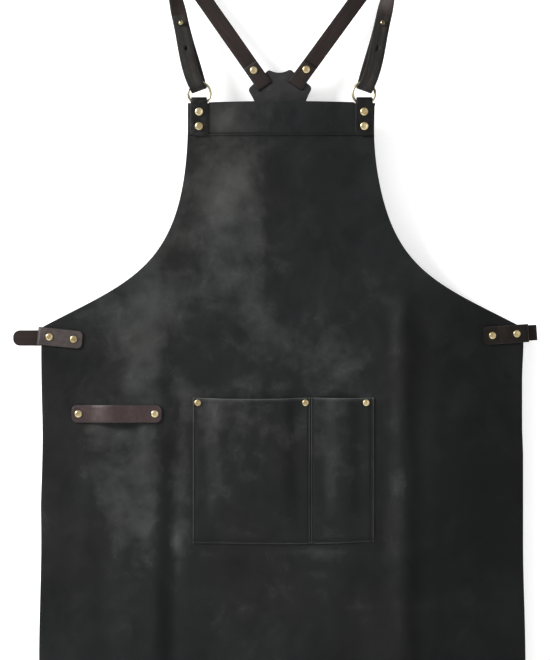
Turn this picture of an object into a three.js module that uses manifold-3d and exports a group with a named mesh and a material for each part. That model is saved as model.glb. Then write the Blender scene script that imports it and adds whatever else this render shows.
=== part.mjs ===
// A leather work apron hanging by its cross-back shoulder straps.
//
// Millimetres, +Z up, +X to the viewer's right, +Y away from the viewer, so the apron's front faces -Y.
// The pieces are laid out about the bib's top edge (z = 0) and the middle of the panel's thickness
// (y = 0). The exported group then moves them so that the origin is midway between the two strap
// crests, where the apron hangs. "left" and "right" are the viewer's, and every x written for a
// repeated piece is its distance out from the centre line.
import * as THREE from "three";
import { mergeVertices } from "three/addons/utils/BufferGeometryUtils.js";
import Module from "manifold-3d";

const wasm = await Module();
wasm.setup();

// ---------------------------------------------------------------- driving dimensions

const gap = 0.3; // between pieces that lie on each other, and round a shank in its hole
const sides = { left: -1, right: 1 };

const panel = {
  thick: 2,
  halfWidth: 299.4,
  length: 830,
  bibHalfWidth: 117,
  bibStraight: 34, // the bib's sides run straight down this far
  sideTop: 279.5, // the armholes end at the side corners, this far down
  crown: 2.6, // the bib's top edge rises this much in the middle
  cornerRadius: 10,
};
const armhole = { upperRun: 174, upperLean: 4.5, lowerRun: 109.5, lowerRise: 58.5 };

const band = { thick: 1.6, height: 40 };

const ring = {
  wire: 1.6, // radius of the wire
  play: 2.55, // inside the ring, at each side of the strap
  fromBibSide: 14.6, // from the bib's side to the ring's centre
  drop: 1.133, // from where its tab would hold it tight
};
const ringTab = {
  thick: 1.8,
  width: 22,
  foldWidth: 19.6, // drawn in a little, to pass inside the ring
  outwards: 0.4, // beyond the ring's centre
  foldTop: 7.5, // above the bib's edge
  length: 40.5, // below the bib's edge
  rivets: [10.8, 28.8], // below the bib's edge
  cornerRadius: 5,
};

const strap = { thick: 2.6, width: 19.5 };
const ringFold = {
  aside: 1.11, // the fold lies this far outwards of the ring's middle, along its own crease
  radius: 7.2, // to the middle of the strap, with room for the ring to swing
  depth: 0.3, // y of its centre
  play: 0.16, // between the fold's corners and the ring
  facets: 10,
  frontLean: 26, // degrees from upright, on the way down to the ring
  backLean: 14, // degrees from upright, on the way up again
};
const studPoint = { x: 125.3, z: 99.5, lean: 12.5 };
const strapTip = { x: 127.4, z: 109.5, lean: 10, cornerRadius: 5 };
const adjustHoles = [
  { x: 118.7, z: 68 },
  { x: 112.6, z: 35 },
];
const adjustHoleRadius = 1.9;
const crest = { x: 143.5, z: 186, lean: 10, pegRadius: 8, facets: 9 };

const yoke = {
  thick: 2.2,
  clearance: 0.4, // from the panel to the lower rivets' caps, besides the usual gap
  x: -1.5,
  tilt: 1.6, // degrees, right side up
  waistZ: -16,
  hornX: 13.5, // the arms' inner corners
  hornZ: 42.3,
  armX: 40.4, // the arms' outer corners
  armZ: 18.7,
  scoop: 3.3, // the hollow between the two arms
  flare: 30, // degrees from upright, of the sides below the arms
  flareReach: 30,
  armRound: 5,
  hornRound: 2.5,
};
const yokeSlot = { x: 20.2, z: 24, slack: 1 }; // slack at each side of the strap
const yokeRivetRun = 21.7; // from the slot to the rivet, along the strap
const tailBeyondRivet = 8.5;
const lowerStrapLean = 38; // degrees from upright, where it leaves the yoke

const sideTab = {
  thick: 2.4,
  height: 22.6,
  length: 56, // front leg, from the fold to its rounded end
  backLength: 54,
  cornerRadius: 6,
  left: { overhang: 4.5, down: 10.1, tilt: 5.6 }, // beyond and below the panel's side corner,
  right: { overhang: 8.2, down: 6.7, tilt: 3.9 }, // and tilt in degrees, inner end down
  rivets: [14.8, 45.2], // from the fold
  studRun: 29.5, // from the fold
};
const lowerStrapEnd = {
  left: { standOut: 35.4, tilt: 0 }, // beyond the panel's side
  right: { standOut: 18.9, tilt: 3.9 },
  tuckBeyondStud: 17,
  tipFlat: 2.3, // left straight between the tip's two rounds
};

const pocket = {
  thick: 1.6,
  top: -368,
  bottom: -548.5,
  bulge: 6, // the leaves stand off the panel this much in the middle
  flat: 14, // the sewn edge stays flat this far in
  rise: 21, // and the leaf rises to its bulge over this distance
};
const pocketLeaves = {
  large: { from: -110.4, to: 35.4, sag: 2.6 },
  small: { from: 36.9, to: 114.9, sag: 0.8 },
};
const pocketRivets = [
  { name: "left", x: -104.4, z: -373 },
  { name: "middle", x: 29.6, z: -373 },
  { name: "right", x: 105.2, z: -373 },
];

const towelLoop = {
  thick: 2.4,
  height: 22.4,
  length: 112,
  fromSide: 38, // from the panel's left side
  z: -386.8,
  bow: 7, // stands off the panel this much in the middle
  flat: 15,
  cornerRadius: 7,
  rivetInset: 8.4,
};

const rivetCap = { ringTab: 5, yoke: 4.6, side: 4.5, towel: 4.5, pocket: 4.1 };
const rivetShank = 1.5;
const rivetCapHeight = 1.6;
const rivetBackRadius = 4;
const rivetBackHeight = 0.9;

const stud = {
  flangeRadius: 4,
  flange: 0.8,
  neck: 2,
  ball: 3.4,
  bore: 1.7,
  screw: 1.4,
  screwHead: 3.8,
  screwHeadHeight: 0.8,
};
const sideStudFlange = 1.2;

// ---------------------------------------------------------------- materials

function finish(color, roughness, metalness = 0) {
  return new THREE.MeshStandardMaterial({ color, roughness, metalness });
}
const panelLeather = finish(0x2d3130, 0.6);
const tabLeather = finish(0x26272a, 0.5);
const yokeLeather = finish(0x3b3939, 0.6);
const strapLeather = finish(0x33261f, 0.5);
const brownLeather = finish(0x5a4541, 0.45);
const brass = finish(0xb49a62, 0.35, 0.9);

// ---------------------------------------------------------------- geometry helpers

const radians = THREE.MathUtils.degToRad;
const toViewer = new THREE.Vector3(0, -1, 0);
const fromViewer = new THREE.Vector3(0, 1, 0);

/** A closed three.js geometry as a manifold-3d solid. */
function solidOf(geometry) {
  const bare = geometry.clone();
  bare.deleteAttribute("normal");
  bare.deleteAttribute("uv");
  const merged = mergeVertices(bare, 1e-4);
  return new wasm.Manifold(
    new wasm.Mesh({
      numProp: 3,
      vertProperties: merged.attributes.position.array,
      triVerts: new Uint32Array(merged.index.array),
    }),
  );
}

function geometryOf(solid) {
  const mesh = solid.getMesh();
  return new THREE.BufferGeometry()
    .setAttribute("position", new THREE.BufferAttribute(mesh.vertProperties, 3))
    .setIndex(new THREE.BufferAttribute(mesh.triVerts, 1));
}

function cut(geometry, tools) {
  const result = tools.reduce((solid, tool) => solid.subtract(solidOf(tool)), solidOf(geometry));
  return geometryOf(result);
}

/** A round tool along Y, for cutting a hole between two depths. */
function drill(x, z, radius, fromY, toY, segments = 14) {
  return new THREE.CylinderGeometry(radius, radius, toY - fromY, segments).translate(
    x,
    (fromY + toY) / 2,
    z,
  );
}

/** A flat piece cut to an outline given in x and z, with its front face at y = front. */
function sheet(shape, front, thick, curveSegments = 14) {
  return new THREE.ExtrudeGeometry(shape, { depth: thick, bevelEnabled: false, curveSegments })
    .rotateX(Math.PI / 2)
    .translate(0, front + thick, 0);
}

/** A turned piece along Y. The profile runs from its back end on the axis to its front end on it. */
function turned(profile, x, z, segments = 14) {
  const points = profile.map(([radius, y]) => new THREE.Vector2(radius, y));
  return new THREE.LatheGeometry(points.reverse(), segments).translate(x, 0, z);
}

/**
 * A strip of leather along a list of stations, each { point, across, normal, width }: the strip's
 * middle, the unit vector across it, the unit normal of its outer side, and its width there.
 */
function strip(stations, thick) {
  const positions = [];
  const index = [];
  for (const { point, across, normal, width } of stations) {
    const corners = [
      [-1, -1],
      [1, -1],
      [1, 1],
      [-1, 1],
    ];
    for (const [a, n] of corners) {
      const corner = point
        .clone()
        .addScaledVector(across, (a * width) / 2)
        .addScaledVector(normal, (n * thick) / 2);
      positions.push(corner.x, corner.y, corner.z);
    }
  }
  for (let k = 0; k + 1 < stations.length; k++) {
    for (let side = 0; side < 4; side++) {
      const a = 4 * k + side;
      const b = 4 * k + ((side + 1) % 4);
      index.push(b, a, a + 4, b, a + 4, b + 4);
    }
  }
  const last = 4 * (stations.length - 1);
  index.push(0, 1, 2, 0, 2, 3, last, last + 2, last + 1, last, last + 3, last + 2);
  return new THREE.BufferGeometry()
    .setAttribute("position", new THREE.Float32BufferAttribute(positions, 3))
    .setIndex(index);
}

/** A station on a strip that runs along `direction` with its outer side facing `facing`. */
function station(point, direction, facing, width) {
  const normal = facing
    .clone()
    .addScaledVector(direction, -facing.dot(direction))
    .normalize();
  const across = new THREE.Vector3().crossVectors(direction, normal).normalize();
  return { point: point.clone(), across, normal, width };
}

/** Stations along a smooth run that leaves `from` along `out` and reaches `to` along `into`. */
function run(from, out, to, into, facing, width, steps, reach = 1 / 3) {
  const handle = from.distanceTo(to) * reach;
  const curve = new THREE.CubicBezierCurve3(
    from,
    from.clone().addScaledVector(out, handle),
    to.clone().addScaledVector(into, -handle),
    to,
  );
  const made = [];
  for (let k = 0; k <= steps; k++) {
    made.push(station(curve.getPoint(k / steps), curve.getTangent(k / steps), facing, width));
  }
  return made;
}

/**
 * Stations round a half-turn of a flat strip that arrives along `into` and leaves along `out`, both
 * in its own plane. `toward` points from the strip to the middle of the turn. The strip rolls
 * parallel to the crease, as leather does, so it drifts along the crease when it crosses it aslant.
 */
function fold(from, into, out, toward, radius, facing, width, steps) {
  const beyond = into.clone().sub(out).normalize();
  const sine = into.clone().sub(out).length() / 2;
  const cosine = into.clone().add(out).length() / 2;
  const crease = new THREE.Vector3().crossVectors(toward, beyond).normalize();
  const along = cosine > 1e-6 ? into.clone().add(out).normalize() : crease;
  const drift = (Math.PI * radius * cosine) / sine;
  const inward = facing.dot(toward) > 0 ? 1 : -1;
  const across = crease.multiplyScalar(-inward);
  const centre = from.clone().addScaledVector(toward, radius);
  const made = [];
  for (let k = 0; k <= steps; k++) {
    const angle = (Math.PI * k) / steps;
    const radial = toward
      .clone()
      .multiplyScalar(-Math.cos(angle))
      .addScaledVector(beyond, Math.sin(angle));
    const point = centre
      .clone()
      .addScaledVector(radial, radius)
      .addScaledVector(along, (drift * k) / steps);
    const normal = radial.clone().multiplyScalar(-inward);
    made.push({ point, across: across.clone(), normal, width: width / sine });
  }
  return made;
}

/** Narrows the first stations of a strip to a rounded end, adding stations along its first line. */
function roundedEnd(stations, radius, steps = 4) {
  const [first, second] = stations;
  const inwards = second.point.clone().sub(first.point).normalize();
  const made = [];
  for (let k = 0; k < steps; k++) {
    const angle = (Math.PI / 2) * (k / steps);
    const set = radius * (1 - Math.sin(angle));
    const point = first.point.clone().addScaledVector(inwards, radius * (1 - Math.cos(angle)));
    made.push({ ...first, point, width: first.width - 2 * set });
  }
  const reach = second.point.distanceTo(first.point);
  const rest = reach > radius ? stations.slice(1) : stations.slice(2);
  const shoulder = { ...first, point: first.point.clone().addScaledVector(inwards, radius) };
  return [...made, shoulder, ...rest];
}

/** The direction in the plane of the apron at `lean` degrees from upright, outwards for lean > 0. */
function leaning(side, lean) {
  return new THREE.Vector3(side * Math.sin(radians(lean)), 0, Math.cos(radians(lean)));
}

const group = new THREE.Group();

function add(name, geometry, material) {
  const mesh = new THREE.Mesh(geometry, material);
  mesh.name = name;
  group.add(mesh);
}

// ---------------------------------------------------------------- fasteners

const holeRadius = rivetShank + gap;

/** A set rivet through layers that lie between y = front and y = back. */
function addRivet(name, x, z, front, back, capRadius) {
  const under = front - gap;
  const behind = back + gap;
  const profile = [
    [0, behind + rivetBackHeight],
    [rivetBackRadius * 0.85, behind + rivetBackHeight],
    [rivetBackRadius, behind],
    [rivetShank, behind],
    [rivetShank, under],
    [capRadius, under],
    [capRadius * 0.97, under - rivetCapHeight * 0.4],
    [capRadius * 0.7, under - rivetCapHeight * 0.85],
    [0, under - rivetCapHeight],
  ];
  add(name, turned(profile, x, z), brass);
}

/**
 * A screwed stud whose ball stands off a strap: `base` is the face that its flange lies on, `out` is
 * -1 or 1 for the way along Y that the ball points, and `layers` is the leather buttoned over it.
 * The screw comes through the leather of thickness `seat` under the flange.
 */
function addStud(name, x, z, base, out, flange, layers, seat) {
  const foot = gap;
  const neckEnd = foot + flange + gap + layers + gap;
  const ballCentre = neckEnd + Math.sqrt(stud.ball ** 2 - stud.neck ** 2);
  const ballArc = [-50, -25, 0, 25, 50, 70].map((degrees) => [
    stud.ball * Math.cos(radians(degrees)),
    ballCentre + stud.ball * Math.sin(radians(degrees)),
  ]);
  const profile = [
    [0, neckEnd],
    [stud.bore, neckEnd],
    [stud.bore, foot],
    [stud.flangeRadius, foot],
    [stud.flangeRadius, foot + flange],
    [stud.neck + 0.3, foot + flange],
    [stud.neck + 0.3, neckEnd],
    ...ballArc,
    [0, ballCentre + stud.ball],
  ];
  const screwProfile = [
    [0, -seat - gap - stud.screwHeadHeight],
    [stud.screwHead, -seat - gap - stud.screwHeadHeight],
    [stud.screwHead, -seat - gap],
    [stud.screw, -seat - gap],
    [stud.screw, neckEnd - gap],
    [0, neckEnd - gap],
  ];
  const placed = (points) => {
    const inPlace = points.map(([radius, along]) => [radius, base + out * along]);
    return turned(out < 0 ? inPlace : inPlace.reverse(), x, z);
  };
  add(name, placed(profile), brass);
  add(name + "_screw", placed(screwProfile), brass);
}

const neckHole = stud.neck + 0.3 + gap;
const screwHole = stud.screw + gap;

// ---------------------------------------------------------------- layers in depth

const panelFront = -panel.thick / 2;
const panelBack = panel.thick / 2;
const bandFront = panelFront - gap - band.thick;

const ringTabFront = bandFront - gap - ringTab.thick;
const ringTabBack = panelBack + gap + ringTab.thick;
const ringY = (ringTabFront + ringTabBack) / 2;

const ringRadius = strap.width / 2 + ring.play + ring.wire; // to the middle of its wire

/** How far from a ring's centre a straight edge of this length just fits inside the ring. */
function chordHeight(length, play) {
  return Math.sqrt((ringRadius - ring.wire - play) ** 2 - (length / 2) ** 2);
}

const ringX = panel.bibHalfWidth - ring.fromBibSide;
const ringZ = ringTab.foldTop - ringTab.thick + chordHeight(ringTab.foldWidth, 0) - ring.drop;
const ringTabX = ringX + ringTab.outwards;

const sideTabFront = panelFront - gap - sideTab.thick;
const sideTabBack = panelBack + gap + sideTab.thick;

const mainStrapY = (strap.thick + gap) / 2; // the middle of the main strap at the stud
const freeStrapY = mainStrapY - strap.thick - stud.flange - 3 * gap; // and of its free end

const yokeFront = panelBack + yoke.clearance + rivetCapHeight + 3 * gap + strap.thick;
const yokeBack = yokeFront + yoke.thick;
const tailY = yokeFront - gap - strap.thick / 2;
const behindYokeY = yokeBack + gap + strap.thick / 2;
const rivetedY = tailY + strap.thick + gap;

// ---------------------------------------------------------------- panel and band

function panelShape() {
  const { halfWidth, bibHalfWidth, bibStraight, sideTop, length, crown, cornerRadius } = panel;
  const shape = new THREE.Shape();
  shape.moveTo(-bibHalfWidth, 0);
  shape.quadraticCurveTo(0, 2 * crown, bibHalfWidth, 0);
  shape.lineTo(bibHalfWidth, -bibStraight);
  shape.bezierCurveTo(
    bibHalfWidth + armhole.upperLean,
    -bibStraight - armhole.upperRun,
    halfWidth - armhole.lowerRun,
    -sideTop + armhole.lowerRise,
    halfWidth,
    -sideTop,
  );
  shape.lineTo(halfWidth, -length + cornerRadius);
  shape.quadraticCurveTo(halfWidth, -length, halfWidth - cornerRadius, -length);
  shape.lineTo(-halfWidth + cornerRadius, -length);
  shape.quadraticCurveTo(-halfWidth, -length, -halfWidth, -length + cornerRadius);
  shape.lineTo(-halfWidth, -sideTop);
  shape.bezierCurveTo(
    -halfWidth + armhole.lowerRun,
    -sideTop + armhole.lowerRise,
    -bibHalfWidth - armhole.upperLean,
    -bibStraight - armhole.upperRun,
    -bibHalfWidth,
    -bibStraight,
  );
  shape.closePath();
  return shape;
}

function bandShape() {
  const inset = 0.4; // the facing stops just short of the bib's sides
  const half = panel.bibHalfWidth - inset;
  const shape = new THREE.Shape();
  shape.moveTo(-half, 0);
  shape.quadraticCurveTo(0, 2 * panel.crown, half, 0);
  shape.lineTo(half, -band.height);
  shape.lineTo(-half, -band.height);
  shape.closePath();
  return shape;
}

const ringTabHoles = [];
for (const side of Object.values(sides)) {
  for (const down of ringTab.rivets) ringTabHoles.push({ x: side * ringTabX, z: -down });
}

/** The middle of a side tab's strip at a run from its fold, in x and z. */
function sideTabPoint(name, distance) {
  const place = sideTab[name];
  return {
    x: sides[name] * (panel.halfWidth + place.overhang - distance * Math.cos(radians(place.tilt))),
    z: -panel.sideTop - place.down - distance * Math.sin(radians(place.tilt)),
  };
}

const sideTabHoles = [];
for (const name of Object.keys(sides)) {
  for (const distance of sideTab.rivets) sideTabHoles.push(sideTabPoint(name, distance));
}

const towelLoopFrom = -panel.halfWidth + towelLoop.fromSide;
const towelLoopTo = towelLoopFrom + towelLoop.length;
const towelLoopRivets = [
  { name: "left", x: towelLoopFrom + towelLoop.rivetInset, z: towelLoop.z },
  { name: "right", x: towelLoopTo - towelLoop.rivetInset, z: towelLoop.z },
];

/** Tools that clear the lower part of both rings from the bib's top edge. */
function ringClearances(front, back) {
  const clear = ringRadius + ring.wire + 0.7;
  return Object.values(sides).map((side) =>
    drill(side * ringX, ringZ, clear, front - 1, back + 1, 32),
  );
}

function drillAll(holes, radius, front, back) {
  return holes.map(({ x, z }) => drill(x, z, radius, front - 1, back + 1));
}

const panelHoles = [...ringTabHoles, ...sideTabHoles, ...towelLoopRivets, ...pocketRivets];
add(
  "apron_panel",
  cut(sheet(panelShape(), panelFront, panel.thick), [
    ...drillAll(panelHoles, holeRadius, panelFront, panelBack),
    ...ringClearances(panelFront, panelBack),
  ]),
  panelLeather,
);
add(
  "bib_band",
  cut(sheet(bandShape(), bandFront, band.thick), [
    ...drillAll(ringTabHoles, holeRadius, bandFront, panelFront - gap),
    ...ringClearances(bandFront, panelFront - gap),
  ]),
  panelLeather,
);

// ---------------------------------------------------------------- pockets

const smooth = THREE.MathUtils.smoothstep;

/** A pocket leaf: its sewn sides and bottom lie flat, and the middle and the mouth stand off. */
function pocketLeaf({ from, to, sag }) {
  const columns = 14;
  const rows = 10;
  const flatY = panelFront - gap;
  const edge = pocket.flat;
  const full = pocket.flat + pocket.rise;
  const at = (i, j) => {
    const x = THREE.MathUtils.lerp(from, to, i / columns);
    const across = (x - from) / (to - from);
    const top = pocket.top - sag * 4 * across * (1 - across);
    const z = THREE.MathUtils.lerp(pocket.bottom, top, j / rows);
    const fromSide = Math.min(x - from, to - x);
    const lift = smooth(fromSide, edge, full) * smooth(z - pocket.bottom, edge, full * 1.5);
    return [x, flatY - pocket.bulge * lift, z];
  };
  const positions = [];
  const index = [];
  for (const thickness of [0, pocket.thick]) {
    for (let j = 0; j <= rows; j++) {
      for (let i = 0; i <= columns; i++) {
        const [x, y, z] = at(i, j);
        positions.push(x, y - thickness, z);
      }
    }
  }
  const stride = columns + 1;
  const front = stride * (rows + 1);
  for (let j = 0; j < rows; j++) {
    for (let i = 0; i < columns; i++) {
      const a = j * stride + i;
      const b = a + 1;
      const c = a + stride;
      const d = c + 1;
      index.push(a, c, b, b, c, d);
      index.push(front + a, front + b, front + c, front + b, front + d, front + c);
    }
  }
  const wall = (a, b) => index.push(a, b, front + b, a, front + b, front + a);
  for (let i = 0; i < columns; i++) {
    wall(i, i + 1);
    wall(rows * stride + i + 1, rows * stride + i);
  }
  for (let j = 0; j < rows; j++) {
    wall((j + 1) * stride, j * stride);
    wall(j * stride + columns, (j + 1) * stride + columns);
  }
  return new THREE.BufferGeometry()
    .setAttribute("position", new THREE.Float32BufferAttribute(positions, 3))
    .setIndex(index);
}

const pocketFront = panelFront - gap - pocket.thick;
for (const [name, leaf] of Object.entries(pocketLeaves)) {
  const through = pocketRivets.filter(({ x }) => x > leaf.from && x < leaf.to);
  add(
    "pocket_" + name,
    cut(pocketLeaf(leaf), drillAll(through, holeRadius, pocketFront, panelFront)),
    panelLeather,
  );
}
for (const { name, x, z } of pocketRivets) {
  addRivet("pocket_rivet_" + name, x, z, pocketFront, panelBack, rivetCap.pocket);
}

// ---------------------------------------------------------------- towel loop

const towelLoopFront = panelFront - gap - towelLoop.thick;

/** A short strip bowed off the panel, held by a rivet at each end. */
function towelLoopStrip() {
  const { z, height, bow, flat, cornerRadius, thick } = towelLoop;
  const [from, to] = [towelLoopFrom, towelLoopTo];
  const restY = towelLoopFront + thick / 2;
  const middle = (from + to) / 2;
  const across = new THREE.Vector3(1, 0, 0);
  const half = [
    ...run(
      new THREE.Vector3(from, restY, z),
      across,
      new THREE.Vector3(from + flat, restY, z),
      across,
      toViewer,
      height,
      1,
    ),
    ...run(
      new THREE.Vector3(from + flat, restY, z),
      across,
      new THREE.Vector3(middle, restY - bow, z),
      across,
      toViewer,
      height,
      10,
      0.45,
    ).slice(1),
  ];
  const rounded = roundedEnd(half, cornerRadius);
  const mirrored = rounded
    .slice(0, -1)
    .reverse()
    .map((each) => ({
      ...each,
      point: new THREE.Vector3(2 * middle - each.point.x, each.point.y, z),
      normal: new THREE.Vector3(-each.normal.x, each.normal.y, each.normal.z),
    }));
  return strip([...rounded, ...mirrored], thick);
}

add(
  "towel_loop",
  cut(towelLoopStrip(), drillAll(towelLoopRivets, holeRadius, towelLoopFront, panelFront)),
  brownLeather,
);
for (const { name, x, z } of towelLoopRivets) {
  addRivet("towel_loop_rivet_" + name, x, z, towelLoopFront, panelBack, rivetCap.towel);
}

// ---------------------------------------------------------------- rings and their tabs

for (const [name, side] of Object.entries(sides)) {
  const torus = new THREE.TorusGeometry(ringRadius, ring.wire, 10, 40)
    .rotateX(Math.PI / 2)
    .translate(side * ringX, ringY, ringZ);
  add("ring_" + name, torus, brass);
}

/** A tab folded over the ring's lower arc, with one leg on each face of the bib. */
function ringTabStrip(side) {
  const { thick, width, foldWidth, foldTop, length, cornerRadius } = ringTab;
  const radius = (ringTabBack - ringTabFront - thick) / 2;
  const centreZ = foldTop - radius - thick / 2;
  const up = new THREE.Vector3(0, 0, 1);
  const down = new THREE.Vector3(0, 0, -1);
  const frontY = ringTabFront + thick / 2;
  const place = (y, z) => new THREE.Vector3(side * ringTabX, y, z);
  const front = run(place(frontY, -length), up, place(frontY, -1), up, toViewer, width, 2);
  const back = run(
    place(frontY + 2 * radius, -1),
    down,
    place(frontY + 2 * radius, -length),
    down,
    fromViewer,
    width,
    2,
  );
  const turn = fold(
    place(frontY, centreZ),
    up,
    down,
    fromViewer,
    radius,
    toViewer,
    foldWidth,
    8,
  );
  const ends = [...front, ...turn, ...back];
  const frontRounded = roundedEnd(ends, cornerRadius);
  return strip(roundedEnd(frontRounded.reverse(), cornerRadius).reverse(), thick);
}

for (const [name, side] of Object.entries(sides)) {
  const holes = ringTab.rivets.map((down) => ({ x: side * ringTabX, z: -down }));
  add(
    "ring_tab_" + name,
    cut(ringTabStrip(side), drillAll(holes, holeRadius, ringTabFront, ringTabBack)),
    tabLeather,
  );
  holes.forEach(({ x, z }, k) => {
    const which = ["upper", "lower"][k];
    const rivetName = ["ring_tab_rivet", name, which].join("_");
    addRivet(rivetName, x, z, ringTabFront, ringTabBack, rivetCap.ringTab);
  });
}

// ---------------------------------------------------------------- yoke

/** Turns the yoke's own x and z into the apron's. */
function yokePoint(x, z) {
  const turn = radians(yoke.tilt);
  return {
    x: yoke.x + x * Math.cos(turn) - z * Math.sin(turn),
    z: x * Math.sin(turn) + z * Math.cos(turn),
  };
}

function yokeSlotPoint(side, upper) {
  const z = upper ? yokeSlot.z : 2 * yoke.waistZ - yokeSlot.z;
  return yokePoint(side * yokeSlot.x, z);
}

/** The four-armed outline, quarter by quarter, clockwise from the upper right arm. */
function yokeShape() {
  const { hornX, hornZ, armX, armZ, waistZ, scoop, flare, flareReach, armRound, hornRound } = yoke;
  const toArm = new THREE.Vector2(armX - hornX, armZ - hornZ).normalize();
  const horn = new THREE.Vector2(hornX, hornZ);
  const arm = new THREE.Vector2(armX, armZ);
  const downSide = new THREE.Vector2(-Math.sin(radians(flare)), -Math.cos(radians(flare)));
  const quarter = [
    ["moveOrLine", horn.clone().add(new THREE.Vector2(-hornRound, -hornRound * 0.45))],
    ["quadratic", horn, horn.clone().addScaledVector(toArm, hornRound)],
    ["moveOrLine", arm.clone().addScaledVector(toArm, -armRound)],
    ["quadratic", arm, arm.clone().addScaledVector(downSide, armRound)],
  ];
  const sideHandle = arm.clone().addScaledVector(downSide, flareReach);
  const flip = (v, sx, sz) => {
    const z = sz > 0 ? v.y : 2 * waistZ - v.y;
    return yokePoint(sx * v.x, z);
  };
  const shape = new THREE.Shape();
  let started = false;
  const draw = (steps, sx, sz) => {
    for (const [kind, ...points] of steps) {
      const placed = points.map((v) => flip(v, sx, sz));
      if (kind === "quadratic") {
        shape.quadraticCurveTo(placed[0].x, placed[0].z, placed[1].x, placed[1].z);
      } else if (started) {
        shape.lineTo(placed[0].x, placed[0].z);
      } else {
        shape.moveTo(placed[0].x, placed[0].z);
        started = true;
      }
    }
  };
  const reversed = [
    ["moveOrLine", quarter[3][2]],
    ["quadratic", arm, quarter[2][1]],
    ["moveOrLine", quarter[1][2]],
    ["quadratic", horn, quarter[0][1]],
  ];
  const sideCurve = (sx, sz) => {
    const first = flip(sideHandle, sx, sz);
    const second = flip(sideHandle, sx, -sz);
    const end = flip(quarter[3][2], sx, -sz);
    shape.bezierCurveTo(first.x, first.z, second.x, second.z, end.x, end.z);
  };
  const scoopCurve = (sx, sz) => {
    const handle = flip(new THREE.Vector2(0, hornZ - 2 * scoop), 1, sz);
    const end = flip(quarter[0][1], -sx, sz);
    shape.quadraticCurveTo(handle.x, handle.z, end.x, end.z);
  };
  draw(quarter, 1, 1);
  sideCurve(1, 1);
  draw(reversed, 1, -1);
  scoopCurve(1, -1);
  draw(quarter, -1, -1);
  sideCurve(-1, -1);
  draw(reversed, -1, 1);
  scoopCurve(-1, 1);
  return shape;
}

/** A slot tool across a strap that leaves the yoke along `direction`. */
function slotTool({ x, z }, direction) {
  const radius = (behindYokeY - tailY) / 2;
  const reach = radius + strap.thick / 2 + gap; // from the fold's centre to beyond the strap
  const length = reach + gap;
  const across = strap.width + 2 * yokeSlot.slack;
  const box = new THREE.BoxGeometry(across, yoke.thick + 4, length, 1, 1, 1);
  const angle = Math.atan2(direction.x, direction.z);
  const middle = (gap - reach) / 2;
  return box
    .translate(0, 0, middle)
    .rotateY(angle)
    .translate(x, yokeFront + yoke.thick / 2, z);
}

// ---------------------------------------------------------------- shoulder straps

const crestRadius = crest.pegRadius + strap.thick / 2;

/**
 * The last stretch of a strap that ends on the yoke: it is riveted, passes behind the yoke's arm,
 * comes forward through the slot and lies back over its own front. `out` points from the slot along
 * the strap, and `arrive` is the point and direction that the strap comes from.
 */
function yokeEnd(slot, out, arrive) {
  const into = out.clone().negate();
  const at = (distance, y) =>
    new THREE.Vector3(slot.x, y, slot.z).addScaledVector(out, distance);
  const flatHalf = rivetCap.yoke + 0.6;
  const bend = 6.4; // the strap steps back behind the yoke over this distance
  const stepFrom = yokeRivetRun - flatHalf;
  const flat = at(yokeRivetRun + flatHalf, rivetedY);
  const width = strap.width;
  const tipRun = yokeRivetRun + tailBeyondRivet;
  const main = run(arrive.point, arrive.direction, flat, into, toViewer, width, arrive.steps);
  const step = run(
    at(stepFrom, rivetedY),
    into,
    at(stepFrom - bend, behindYokeY),
    into,
    toViewer,
    width,
    4,
    0.4,
  );
  const radius = (behindYokeY - tailY) / 2;
  const turn = fold(at(0, behindYokeY), into, out, toViewer, radius, toViewer, width, 6);
  const tip = station(at(tipRun, tailY), out, fromViewer, width);
  return [...main, ...step, ...turn, tip];
}

function yokeRivetPoint(slot, out) {
  return new THREE.Vector3(slot.x, 0, slot.z).addScaledVector(out, yokeRivetRun);
}

/** The strap's turn through its ring, seated with its corners just clear of the ring's inside. */
function ringTurnOf(side, into, out) {
  const { radius, depth, aside, play, facets } = ringFold;
  const origin = new THREE.Vector3();
  const turn = fold(origin, into, out, fromViewer, radius, toViewer, strap.width, facets);
  const { point, across, normal, width } = turn[facets / 2];
  const seat = chordHeight(width + 2 * aside, play); // of its inner face, above the ring's centre
  const bottom = new THREE.Vector3(side * ringX, depth, ringZ)
    .addScaledVector(normal, strap.thick / 2 - seat)
    .addScaledVector(across, side * aside);
  const shift = bottom.sub(point);
  return turn.map((each) => ({ ...each, point: each.point.clone().add(shift) }));
}

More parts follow.
